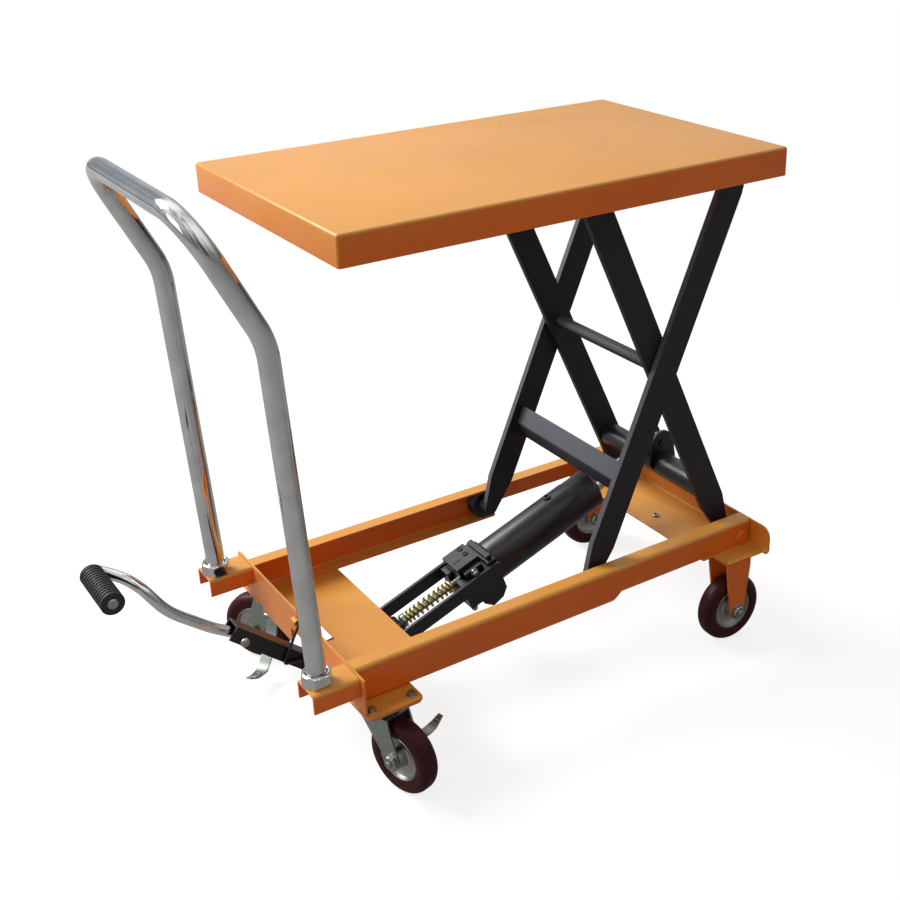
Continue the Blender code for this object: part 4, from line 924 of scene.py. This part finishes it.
nut = [(0.0, TUBE_RADIUS), (0.0, NUT_CORNER * 0.97), (0.0015, NUT_CORNER)]
for degrees in range(0, 91, 10):
    angle = math.radians(degrees)
    nut.append((NUT_HEIGHT * (DOME_START + (1.0 - DOME_START) * math.sin(angle)),
                NUT_MOUTH + (NUT_CORNER - NUT_MOUTH) * math.cos(angle)))
nut += [(NUT_HEIGHT - 0.001, TUBE_RADIUS + 0.0008), (NUT_HEIGHT - 0.003, TUBE_RADIUS)]
for name, side in SIDES:
    foot = at(HANDLE_X, side * HANDLE_HALF_WIDTH, 0.0)
    foot.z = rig.box(f"handle_nut_{name}")[0].z
    form = bmesh.new()
    add_turned(form, nut, foot, UP, NUT_FLATS, TURN_STEPS)
    made(f"union_nut_{name}", form, "chassis", "chrome", f"handle_nut_{name}")
print("two union nuts", NUT_HEIGHT, "m high")

# %% [markdown]
# ### Pedal bar and grip
#
# The bar is bent cold round formers, so its bends run into each other without corners. A
# curve through a few chosen places gives that line. Arcs between straight runs would look
# like plumbing. At the grip it turns in sharply and runs on inside.

# %% Pedal bar
BAR_RADIUS = 0.0092
BAR_PLACES = [(-0.506, 0.0, 0.2140), (-0.521, 0.0, 0.2245), (-0.5573, 0.0, 0.2480),
              (-0.5876, 0.0, 0.2723), (-0.6126, 0.0, 0.2934), (-0.6300, 0.001, 0.3120),
              (-0.6430, 0.005, 0.3310), (-0.6560, 0.014, 0.3500), (-0.6720, 0.030, 0.3640),
              (-0.6900, 0.050, 0.3710)]
BAR_LAST_STRETCH = [(-0.7040, 0.0620, 0.3748), (-0.7125, 0.0625, 0.3770)]
TURN_IN_RADIUS = 0.006
TURN_IN = (0.0125, 0.002)         # where it turns and ends turning, beyond the grip's face
BAR_SIDES = 32

grip_centre = middle_of("pedal_grip")
grip_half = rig.box("pedal_grip")[1].y - grip_centre.y
line = smooth_path([at(*place) for place in BAR_PLACES], 8)
line += [at(*place) for place in BAR_LAST_STRETCH]
turn_in = [line[-1]] + [grip_centre + ACROSS * (grip_half + beyond) for beyond in TURN_IN]
line = line[:-1] + rounded(turn_in, [TURN_IN_RADIUS], 6)
line.append(grip_centre - ACROSS * (grip_half - 0.010))
bar = sweep("pedal_round_bar", line, BAR_RADIUS, BAR_SIDES)
finish_piece(bar, "pedal", "chrome", "pedal_bar")
print("pedal bar", len(bar.data.polygons), "faces")

# %% [markdown]
# The grip is a rubber sleeve with thin, even ribs across the foot's way. They are grooves in a
# turned profile, real ones, because a bump map would leave the outline smooth. The bar's end
# shows as a small stud in the sleeve's mouth.

# %% Grip
GRIP_RADIUS = 0.0185
GRIP_RIBS = 14
GROOVE = 0.0028
STUD = [(0.0, 0.0), (0.0, 0.0083), (0.011, 0.0083), (0.0125, 0.0068), (0.0125, 0.0)]

pitch = 2 * grip_half / GRIP_RIBS
profile = [(-grip_half, 0.0085), (-grip_half, GRIP_RADIUS - 0.0015),
           (-grip_half + 0.001, GRIP_RADIUS)]
for k in range(GRIP_RIBS):
    start = -grip_half + 0.002 + k * pitch * 0.985
    profile += [(start + pitch * 0.42, GRIP_RADIUS), (start + pitch * 0.50, GRIP_RADIUS - GROOVE),
                (start + pitch * 0.86, GRIP_RADIUS - GROOVE), (start + pitch * 0.93, GRIP_RADIUS)]
profile += [(grip_half, GRIP_RADIUS - 0.001), (grip_half, 0.0096)]
grip = lathe("ribbed_grip", profile, grip_centre, ACROSS, ring=True)
finish_piece(grip, "pedal", "black_rubber", "pedal_grip")
form = bmesh.new()
add_turned(form, STUD, grip_centre - ACROSS * (grip_half - 0.0105), -ACROSS)
made("grip_end_stud", form, "pedal", "zinc")
print("grip", len(grip.data.polygons), "faces,", GRIP_RIBS, "ribs")

# %% [markdown]
# ### Wheels
#
# Each wheel is a cast core with a thick ring of polyurethane on it. The tread has full round
# shoulders. The core has a stepped rim, a dished web and a hub with a bearing shield. All of
# it is round about one axis, so half a profile is drawn, mirrored and turned. The four wheels
# differ only in where they are and which way they face, so one function makes a wheel from
# its joint's axis.

# %% Wheels
WHEEL_RADIUS = 0.065
HALF_WIDTH = 0.0175
RIM_RADIUS = 0.040
HALF_HUB = 0.021
HUB_RADIUS = 0.014
AXLE_RADIUS = 0.0063
SHOULDER = 0.0125
LIP = HALF_WIDTH - 0.0030         # where the rim's lip ends, from the wheel's middle

TREAD_SIDE = []
for degrees in range(0, 91, 9):
    angle = math.radians(degrees)
    TREAD_SIDE.append((HALF_WIDTH - SHOULDER + SHOULDER * math.sin(angle),
                       WHEEL_RADIUS - SHOULDER + SHOULDER * math.cos(angle)))
TREAD_SIDE += [(HALF_WIDTH, RIM_RADIUS + 0.007), (HALF_WIDTH - 0.0006, RIM_RADIUS + 0.004),
               (HALF_WIDTH - 0.0022, RIM_RADIUS + 0.0012), (LIP, RIM_RADIUS + 0.0002)]
CORE_SIDE = [(LIP, RIM_RADIUS), (LIP + 0.0006, RIM_RADIUS - 0.0008), (LIP, RIM_RADIUS - 0.0022),
             (LIP - 0.003, RIM_RADIUS - 0.0032), (LIP - 0.0055, RIM_RADIUS - 0.0045),
             (0.0070, RIM_RADIUS - 0.0085), (0.0060, RIM_RADIUS - 0.011),
             (0.0060, HUB_RADIUS + 0.006), (0.0080, HUB_RADIUS + 0.003),
             (HALF_HUB - 0.001, HUB_RADIUS + 0.0005), (HALF_HUB, HUB_RADIUS - 0.0005),
             (HALF_HUB, HUB_RADIUS - 0.003), (HALF_HUB - 0.001, HUB_RADIUS - 0.0034),
             (HALF_HUB - 0.001, AXLE_RADIUS)]


def make_wheel(prefix, name):
    """Tread and core of one wheel."""
    body = f"{prefix}_wheel_{name}"
    joint = joints[body + "_spin"]
    for kind, side, slot, node in (("tread", TREAD_SIDE, "maroon_tread", "tyre"),
                                   ("rim", CORE_SIDE, "wheel_core", "core")):
        item = lathe(f"{prefix}_{kind}_{name}", both_sides(side), Vector(joint["pos_m"]),
                     joint["axis"], ring=True)
        finish_piece(item, body, slot, f"{prefix}_{node}_{name}")


for name, _ in SIDES:
    make_wheel("front", name)
    make_wheel("caster", name)
print("four wheels of radius", WHEEL_RADIUS)

# %% [markdown]
# Each axle is a zinc-plated bolt through the fork, with a hexagon head on one side and a lock
# nut on the other. Both show much the same, so both are a bolt head with a stub of thread.

# %% Axle bolts
FORK_SHEETS = {"front": 0.004, "caster": 0.003}
FORK_PLAY = 0.0015
AXLE_HEAD = (0.0240, 0.0068, 0.0150)    # across the flats, height, washer's radius
THREAD = [(0.0070, 0.0), (0.0070, 0.0062), (0.0110, 0.0062), (0.0122, 0.0050), (0.0122, 0.0)]

for name, side in SIDES:
    for prefix, body in (("front", "chassis"), ("caster", f"caster_{name}")):
        joint = joints[f"{prefix}_wheel_{name}_spin"]
        axis = Vector(joint["axis"]).normalized()
        face = HALF_HUB + FORK_PLAY + FORK_SHEETS[prefix] - SUNK
        form = bmesh.new()
        for outward in (-axis, axis):
            place = Vector(joint["pos_m"]) + outward * face
            add_bolt(form, place, outward, *AXLE_HEAD)
            add_turned(form, THREAD, place, outward)
        made(f"{prefix}_axle_bolts_{name}", form, body, "zinc")
print("axle bolts on four wheels")

# %% [markdown]
# ### Caster brakes
#
# The brake lever is a curved blade of pressed steel on a short barrel beside the fork, with a
# small arm below it and ribs near its tip for the shoe. The blade narrows and curls as it
# goes. A flat strip with a bend modifier keeps one width, so the blade is swept instead:
# four corners carried along a curve, with a width for each of its places.

# %% Brake blade
BLADE = [(0.0010, -0.0010), (0.0140, -0.0330), (0.0360, -0.0660), (0.0560, -0.0790),
         (0.0800, -0.0770), (0.1010, -0.0660)]
BLADE_WIDTHS = (0.020, 0.022, 0.022, 0.021, 0.018, 0.010)
BLADE_HALF_THICKNESS = 0.0014


def add_blade(form, spine, matrix):
    """A strip along a curve, its width read from the list of widths."""
    rings = []
    last = len(BLADE_WIDTHS) - 1
    for i, point in enumerate(spine):
        t = i / (len(spine) - 1) * last
        k = min(int(t), last - 1)
        half = (BLADE_WIDTHS[k] * (k + 1 - t) + BLADE_WIDTHS[k + 1] * (t - k)) / 2
        ahead = ahead_at(spine, i)
        lift = Vector((-ahead.z, 0.0, ahead.x)) * BLADE_HALF_THICKNESS
        rings.append([form.verts.new(matrix @ (point + lift * way + ACROSS * half * across))
                      for across, way in ((-1, 1), (1, 1), (1, -1), (-1, -1))])
    join_rings(form, rings)


spine = smooth_path([Vector((x, 0.0, z)) for x, z in BLADE], 6)
print("blade of", len(spine), "rows")

# %% [markdown]
# Both levers are drawn in a frame of their own at the hinge, with X away from the caster, so
# that one set of numbers serves for the near and the far one.

# %% Brake levers
HINGE_BARREL = both_sides([(0.017, 0.0), (0.017, 0.0040), (0.016, 0.0045)])
ARM = [(0.0340, -0.0660), (0.0560, -0.0800), (0.0540, -0.0880), (0.0440, -0.0880)]
ARM_HALF_WIDTH = 0.0060
RIB = both_sides([(0.006, 0.0), (0.006, 0.0007)])
RIB_RISE = 0.0016
RIB_ROWS = (-4, -6, -8, -10)      # the blade's rows that have a rib, from its tip
RIB_STEPS = 12
BLADE_BEVEL = 0.0005
ARM_BEVEL = 0.0008


def brake_frame(name):
    """A frame at the hinge: X away from the caster, Y along the hinge, Z up."""
    joint = joints[f"brake_{name}_press"]
    hinge = Vector(joint["pos_m"])
    axis = Vector(joint["axis"]).normalized()
    outward = axis.cross(UP).normalized()
    if (middle_of(f"caster_brake_{name}") - hinge).dot(outward) < 0:
        outward = -outward
    return placed(hinge, outward, axis, UP)


for name, _ in SIDES:
    matrix = brake_frame(name)
    axis = matrix.col[1].xyz
    form = bmesh.new()
    add_blade(form, spine, matrix)
    add_turned(form, HINGE_BARREL, matrix.translation, axis)
    made(f"brake_blade_{name}", form, f"brake_{name}", "zinc", f"caster_brake_{name}",
         BLADE_BEVEL)
    form = bmesh.new()
    add_slab(form, ARM, -ARM_HALF_WIDTH, ARM_HALF_WIDTH, matrix)
    made(f"brake_arm_{name}", form, f"brake_{name}", "zinc", width=ARM_BEVEL)
    form = bmesh.new()
    for row in RIB_ROWS:
        add_turned(form, RIB, matrix @ (spine[row] + UP * RIB_RISE), axis, steps=RIB_STEPS)
    made(f"brake_ribs_{name}", form, f"brake_{name}", "zinc")
print("two brake levers,", len(RIB_ROWS), "ribs each")

# %% [markdown]
# ### Bolts of the casters, rails and shelf
#
# Two bolts show on each caster's pad, outside the rail. The lower pivot's end shows as a flat
# painted cap on the rail, and one cap screw stands on the shelf between the front wheels.
# Heights come from the boxes of the parts below them, so that no head floats or sinks.

# %% Bolts of the casters, rails and shelf
CASTER_X = -0.367
PAD_BOLT_OFFSETS = (-0.036, 0.036)
PAD_BOLT_Y = 0.2345
PAD_BOLT = (0.0125, 0.0050, 0.0085)     # across the flats, height, washer's radius
PIVOT_CAP = [(-0.001, 0.0), (-0.001, 0.0120), (0.0022, 0.0120), (0.0034, 0.0104), (0.0034, 0.0)]
SHELF_SCREW_PLACE = (0.330, -0.030, 0.1776)
SHELF_SCREW = (0.0065, 0.0045)          # radius, height

for name, side in SIDES:
    form = bmesh.new()
    for offset in PAD_BOLT_OFFSETS:
        place = at(CASTER_X + offset, side * PAD_BOLT_Y, 0.0)
        place.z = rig.box(f"caster_pad_{name}")[1].z
        add_bolt(form, place, UP, *PAD_BOLT)
    made(f"pad_bolts_{name}", form, "chassis", "zinc")
    place = at(*LIFT_PIVOT)
    place.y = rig.box(f"rail_{name}")[0 if side < 0 else 1].y
    form = bmesh.new()
    add_turned(form, PIVOT_CAP, place, ACROSS * side)
    made(f"pivot_cap_{name}", form, "chassis", "orange_paint")
form = bmesh.new()
add_cap_screw(form, at(*SHELF_SCREW_PLACE), UP, *SHELF_SCREW)
made("shelf_screw", form, "chassis", "zinc")
print("pad bolts beside", CASTER_X)

# %% [markdown]
# ### Scissor: axle, pivots, rollers and cross tube
#
# The centre axle is flush with the outer legs and thick between the inner ones. The lower
# pivots show as two short stubs with a collar between leg and rail. Both are steps in a
# turned profile, so the legs can be seen to turn on something.

# %% Centre axle and lower pivots
INNER_LEG_FACE = 0.1435
LEG_THICKNESS = 0.0115
LEG_PLAY = 0.002
OUTER_LEG_OUT = INNER_LEG_FACE + 2 * LEG_THICKNESS + LEG_PLAY
CLEAR = 0.0004                    # a hair of air, so that no two faces share a plane
PIN_RADIUS = 0.008
AXLE_THICK = 0.0112
COLLAR = 0.0128
RAIL_FACE = 0.416 / 2 - 0.0045    # a rail's inner face, from the middle

form = bmesh.new()
add_turned(form, both_sides([(OUTER_LEG_OUT - 0.0003, 0.0), (OUTER_LEG_OUT - 0.0003, PIN_RADIUS),
                             (INNER_LEG_FACE - CLEAR, PIN_RADIUS),
                             (INNER_LEG_FACE - CLEAR, AXLE_THICK)]),
           Vector(joints["crossing"]["pos_m"]), ACROSS)
made("axle_bar", form, "inner_frame", "charcoal_paint", "centre_axle")

pivot_place = Vector(joints["lift"]["pos_m"])
leg_face = INNER_LEG_FACE + LEG_THICKNESS + CLEAR
stub = [(INNER_LEG_FACE - 0.004, 0.0), (INNER_LEG_FACE - 0.004, PIN_RADIUS - 0.001),
        (INNER_LEG_FACE - 0.003, PIN_RADIUS), (leg_face, PIN_RADIUS), (leg_face, COLLAR),
        (RAIL_FACE, COLLAR), (RAIL_FACE, PIN_RADIUS), (RAIL_FACE + 0.005, PIN_RADIUS),
        (RAIL_FACE + 0.005, 0.0)]
form = bmesh.new()
for _, side in SIDES:
    add_turned(form, stub, pivot_place, ACROSS * side)
made("pivot_stubs", form, "chassis", "charcoal_paint", "lower_pivot_shaft")
print("axle", round(2 * OUTER_LEG_OUT, 4), "m long")

# %% [markdown]
# The lower rollers carry the outer legs along the rails' channels. Each is a steel wheel with
# a dished face and a raised boss. Its radius and width come from the box of the part that it
# stands for, so it runs in the channel exactly as that part does.

# %% Rollers
for name, side in SIDES:
    node = f"lower_roller_{name}"
    centre = middle_of(node)
    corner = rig.box(node)[1] - centre
    radius = corner.x
    half = corner.y
    profile = both_sides([(half - 0.0015, radius), (half - 0.0004, radius - 0.0006),
                          (half, radius - 0.0020), (half, radius - 0.0045),
                          (half - 0.0015, radius - 0.0060), (half - 0.0015, PIN_RADIUS + 0.004),
                          (half, PIN_RADIUS + 0.003), (half, PIN_RADIUS + 0.0003)])
    roller = lathe(f"track_roller_{name}", profile, centre, ACROSS, ring=True)
    finish_piece(roller, node + "_body", "charcoal_paint", node)
print("two rollers of radius", round(radius, 4))

# %% [markdown]
# A round cross tube joins the inner legs, and two gussets on it carry the pin of the piston
# rod. A gusset is a plate with a round nose about the pin, so its outline is a half circle
# and four corners on the tube. It is drawn in place, between two known centres, and fits
# both whatever their distance.

# %% Cross tube
LEG_ANGLE = math.radians(66.0)
TUBE_ALONG = 0.0970
CROSS_TUBE_RADIUS = 0.0235
CROSS_TUBE_STEPS = 72
NOSE_RADIUS = 0.0265
NOSE_STEPS = 16
GUSSET_FACES = (0.0168, 0.0228)
GUSSET_CORNERS = [(CROSS_TUBE_RADIUS + 0.008, 0.004), (CROSS_TUBE_RADIUS, -0.006),
                  (-CROSS_TUBE_RADIUS, -0.006), (-CROSS_TUBE_RADIUS - 0.008, 0.004)]
ROD_PIN_SHAPE = both_sides([(0.0262, 0.0), (0.0262, 0.0070), (0.0255, 0.0075)])

up_leg = Vector((-math.cos(LEG_ANGLE), 0.0, math.sin(LEG_ANGLE)))
tube_place = pivot_place + up_leg * TUBE_ALONG
rod_pin = Vector(joints["rod_swing"]["pos_m"])
toward = (rod_pin - tube_place).normalized()
aside = Vector((-toward.z, 0.0, toward.x))

form = bmesh.new()
reach = INNER_LEG_FACE - CLEAR
add_turned(form, [(-reach, CROSS_TUBE_RADIUS), (reach, CROSS_TUBE_RADIUS)], tube_place, ACROSS,
           steps=CROSS_TUBE_STEPS)
bmesh.ops.holes_fill(form, edges=[edge for edge in form.edges if edge.is_boundary])
outline = []
for k in range(NOSE_STEPS + 1):
    angle = math.pi * (k / NOSE_STEPS - 0.5)
    outline.append(rod_pin + toward * NOSE_RADIUS * math.cos(angle)
                   + aside * NOSE_RADIUS * math.sin(angle))
outline += [tube_place + aside * wide + toward * high for wide, high in GUSSET_CORNERS]
for way in (-1, 1):
    low, high = sorted(way * face for face in GUSSET_FACES)
    add_slab(form, [(spot.x, spot.z) for spot in outline], rod_pin.y + low, rod_pin.y + high,
             Matrix.Identity(4))
add_turned(form, ROD_PIN_SHAPE, rod_pin, ACROSS)
made("cross_tube_round", form, "inner_frame", "black_paint", "inner_cross_tube")
print("cross tube at", [round(v, 3) for v in tube_place])

# %% [markdown]
# ### Pump cylinder, head and spring
#
# The cylinder lies along its stroke, at a slant. Its pieces are easiest to place in a frame
# that starts at the rod's pin: along the stroke, across, and out from the axis. Then every
# number below can be read as if the pump lay flat on a bench.

# %% The pump's frame
STROKE = Vector(joints["cylinder_stroke"]["axis"]).normalized()
OUTWARD = STROKE.cross(ACROSS)
PUMP = placed(rod_pin, STROKE, ACROSS, OUTWARD)


def on_pump(along, across, out):
    """A place in the pump's frame."""
    return PUMP @ Vector((along, across, out))


print("stroke direction", [round(v, 3) for v in STROKE])

# %% [markdown]
# The barrel is a plain tube with a collar turned down near its mouth, a gland with a lip for
# the rod's seal, and an open bore, because the rod moves out of it. The profile goes round
# the outside, over the lip and back down the bore, so that one turned piece has it all. A
# round filler screw sits on top.

# %% Barrel
BARREL_RADIUS = 0.039
BARREL_FRONT = -0.164
BARREL_BACK = -0.408
COLLAR_LENGTH = 0.0490
COLLAR_STEP = 0.0012
BORE_DEPTH = 0.157
ROD_RADIUS = 0.0163
FILLER_PLACE = (-0.254, 0.004, BARREL_RADIUS - COLLAR_STEP)
FILLER = (0.0072, 0.0050)         # radius, height

profile = [(BARREL_BACK, 0.0), (BARREL_BACK, BARREL_RADIUS - 0.002),
           (BARREL_BACK + 0.0006, BARREL_RADIUS - 0.0006), (BARREL_BACK + 0.002, BARREL_RADIUS),
           (BARREL_FRONT - COLLAR_LENGTH, BARREL_RADIUS),
           (BARREL_FRONT - COLLAR_LENGTH + COLLAR_STEP, BARREL_RADIUS - COLLAR_STEP),
           (BARREL_FRONT - 0.0030, BARREL_RADIUS - COLLAR_STEP),
           (BARREL_FRONT, BARREL_RADIUS - 0.0045),
           (BARREL_FRONT, 0.0245), (BARREL_FRONT + 0.001, 0.024),
           (BARREL_FRONT + 0.005, 0.0235), (BARREL_FRONT + 0.006, 0.0225),
           (BARREL_FRONT + 0.006, ROD_RADIUS), (BARREL_FRONT - BORE_DEPTH, ROD_RADIUS),
           (BARREL_FRONT - BORE_DEPTH, 0.0)]
barrel = lathe("cylinder_tube", profile, rod_pin, STROKE)
finish_piece(barrel, "pump", "black_paint", "cylinder_barrel")
form = bmesh.new()
add_cap_screw(form, on_pump(*FILLER_PLACE), OUTWARD, *FILLER)
made("filler_screw", form, "pump", "black_paint")
print("barrel", len(barrel.data.polygons), "faces")

# %% [markdown]
# The head is a machined block in steps, with an angled foot below. It is built of boxes that
# overlap, each with its edges rounded, since nothing inside it is ever seen. Boolean unions
# would give one skin, at the price of broken faces along each joint. The spring's end moves
# when the pedal is pressed, so the block leaves a pocket for it.

# %% Pump head
HEAD_BACK = -0.486
HEAD_FRONT = -0.4085
HEAD_HALF = 0.0397
HEAD_BOTTOM = -0.0330
HEAD_TOP = 0.0225
SEAT = HEAD_BACK + 0.0095         # the pocket's front wall
SEAT_FLOOR = -0.0050
SEAT_HALF_WIDTH = 0.0135
HEAD_BOXES = [                    # two opposite corners of each
    ((-0.4250, -HEAD_HALF, HEAD_BOTTOM), (HEAD_FRONT, HEAD_HALF, -HEAD_BOTTOM)),
    ((-0.4220, -0.0330, 0.0200), (-0.4110, 0.0330, 0.0420)),
    ((SEAT, -HEAD_HALF, HEAD_BOTTOM), (-0.4240, HEAD_HALF, HEAD_TOP)),
    ((HEAD_BACK, -HEAD_HALF, HEAD_BOTTOM), (SEAT, HEAD_HALF, SEAT_FLOOR)),
    ((HEAD_BACK, -HEAD_HALF, SEAT_FLOOR), (SEAT, -SEAT_HALF_WIDTH, HEAD_TOP)),
    ((HEAD_BACK, SEAT_HALF_WIDTH, SEAT_FLOOR), (SEAT, HEAD_HALF, HEAD_TOP)),
    ((SEAT, -0.0210, 0.0200), (-0.4290, 0.0330, 0.0455)),
    ((-0.4700, -0.0330, 0.0200), (-0.4330, -0.0200, 0.0370)),
]
FOOT = [(-0.4640, -0.0300), (-0.4560, -0.0520), (-0.4420, -0.0680), (-0.4180, -0.0640),
        (-0.4040, -0.0490), (-0.4060, -0.0390), (-0.4130, -0.0300)]
FOOT_HALF_WIDTH = 0.0280
HEAD_BEVEL = 0.0010

form = bmesh.new()
for low, high in HEAD_BOXES:
    add_box(form, low, high, PUMP)
add_slab(form, FOOT, -FOOT_HALF_WIDTH, FOOT_HALF_WIDTH, PUMP)
made("pump_head", form, "pump", "black_paint", "pump_block", HEAD_BEVEL)
print("pump head of", len(HEAD_BOXES), "boxes and a foot")

# %% [markdown]
# On the head sit two socket screws and a small seam, black like the rest. The release valve's
# bolt at the side and its rounded stub below are bare zinc, and those bright spots are what
# makes a black block read as a machine.

# %% Screws and valve of the pump head
SCREW_PLACES = [(-0.4420, 0.0235, 0.0454), (-0.4420, 0.0045, 0.0454)]
HEAD_SCREW = (0.0055, 0.0022)           # radius, height
SEAM = ((-0.4720, -0.0010, 0.0452), (-0.4560, 0.0006, 0.0463))
VALVE_BOLT_PLACE = (-0.4520, -0.0328, 0.0285)
VALVE_BOLT = (0.0110, 0.0060, 0.0085)   # across the flats, height, washer's radius
VALVE_STUB_PLACE = (-0.478, -0.030, -0.0325)
VALVE_STUB = [(0.0, 0.0), (0.0, 0.0055), (0.009, 0.0060), (0.012, 0.0045), (0.0135, 0.0)]

form = bmesh.new()
for place in SCREW_PLACES:
    add_cap_screw(form, on_pump(*place), OUTWARD, *HEAD_SCREW)
add_box(form, *SEAM, PUMP)
made("head_screws", form, "pump", "black_rubber")
form = bmesh.new()
add_bolt(form, on_pump(*VALVE_BOLT_PLACE), -ACROSS, *VALVE_BOLT)
add_turned(form, VALVE_STUB, on_pump(*VALVE_STUB_PLACE), -OUTWARD)
made("release_valve", form, "pump", "zinc")
print(len(SCREW_PLACES), "screws and a valve")

# %% [markdown]
# The yellow return spring pushes the plunger out again. It is wire swept along a helix whose
# end turns lie closer together, as on a real compression spring. A Screw modifier gives an
# even helix only. The spring is rigid here and rides with the plunger.

# %% Spring
SPRING_TURNS = 11
STEPS_PER_TURN = 40
WIRE = 0.0026
COIL_RADIUS = 0.0095
COIL_CENTRE = 0.0085
SPRING_START = -0.5927
SPRING_RUN = 0.1033
END_SQUEEZE = 0.035               # how much closer the end turns lie
WIRE_SIDES = 14

path = []
for i in range(SPRING_TURNS * STEPS_PER_TURN + 1):
    t = i / (SPRING_TURNS * STEPS_PER_TURN)
    around = math.tau * SPRING_TURNS * t
    lead = t - math.sin(math.tau * t) * END_SQUEEZE
    path.append(on_pump(SPRING_START + SPRING_RUN * lead, COIL_RADIUS * math.cos(around),
                        COIL_CENTRE + COIL_RADIUS * math.sin(around)))
spring = sweep("plunger_coil", path, WIRE, WIRE_SIDES)
finish_piece(spring, "pump_plunger", "yellow_zinc", "plunger_spring")
print("spring of", SPRING_TURNS, "turns")

# %% [markdown]
# A round-headed bolt joins the pedal's channel to its bar. It stands on the channel's near
# face, which is read from that part's box.

# %% Channel bolt
BOLT_PLACE = (-0.524, 0.0, 0.2330)
BOLT_HEAD = [(-0.0005, 0.0), (-0.0005, 0.0075), (0.0020, 0.0075), (0.0042, 0.0055),
             (0.0048, 0.0)]

place = at(*BOLT_PLACE)
place.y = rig.box("pedal_channel")[0].y
form = bmesh.new()
add_turned(form, BOLT_HEAD, place, -ACROSS)
made("channel_bolt", form, "pedal", "zinc")
print("channel bolt at", [round(v, 3) for v in place])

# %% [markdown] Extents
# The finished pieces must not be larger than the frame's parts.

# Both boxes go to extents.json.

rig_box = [list(corner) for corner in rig.bounds()]
with open("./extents.json", "w") as sizes:
    json.dump({"cad": cad_box, "visual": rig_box}, sizes)
print("visual box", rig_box)
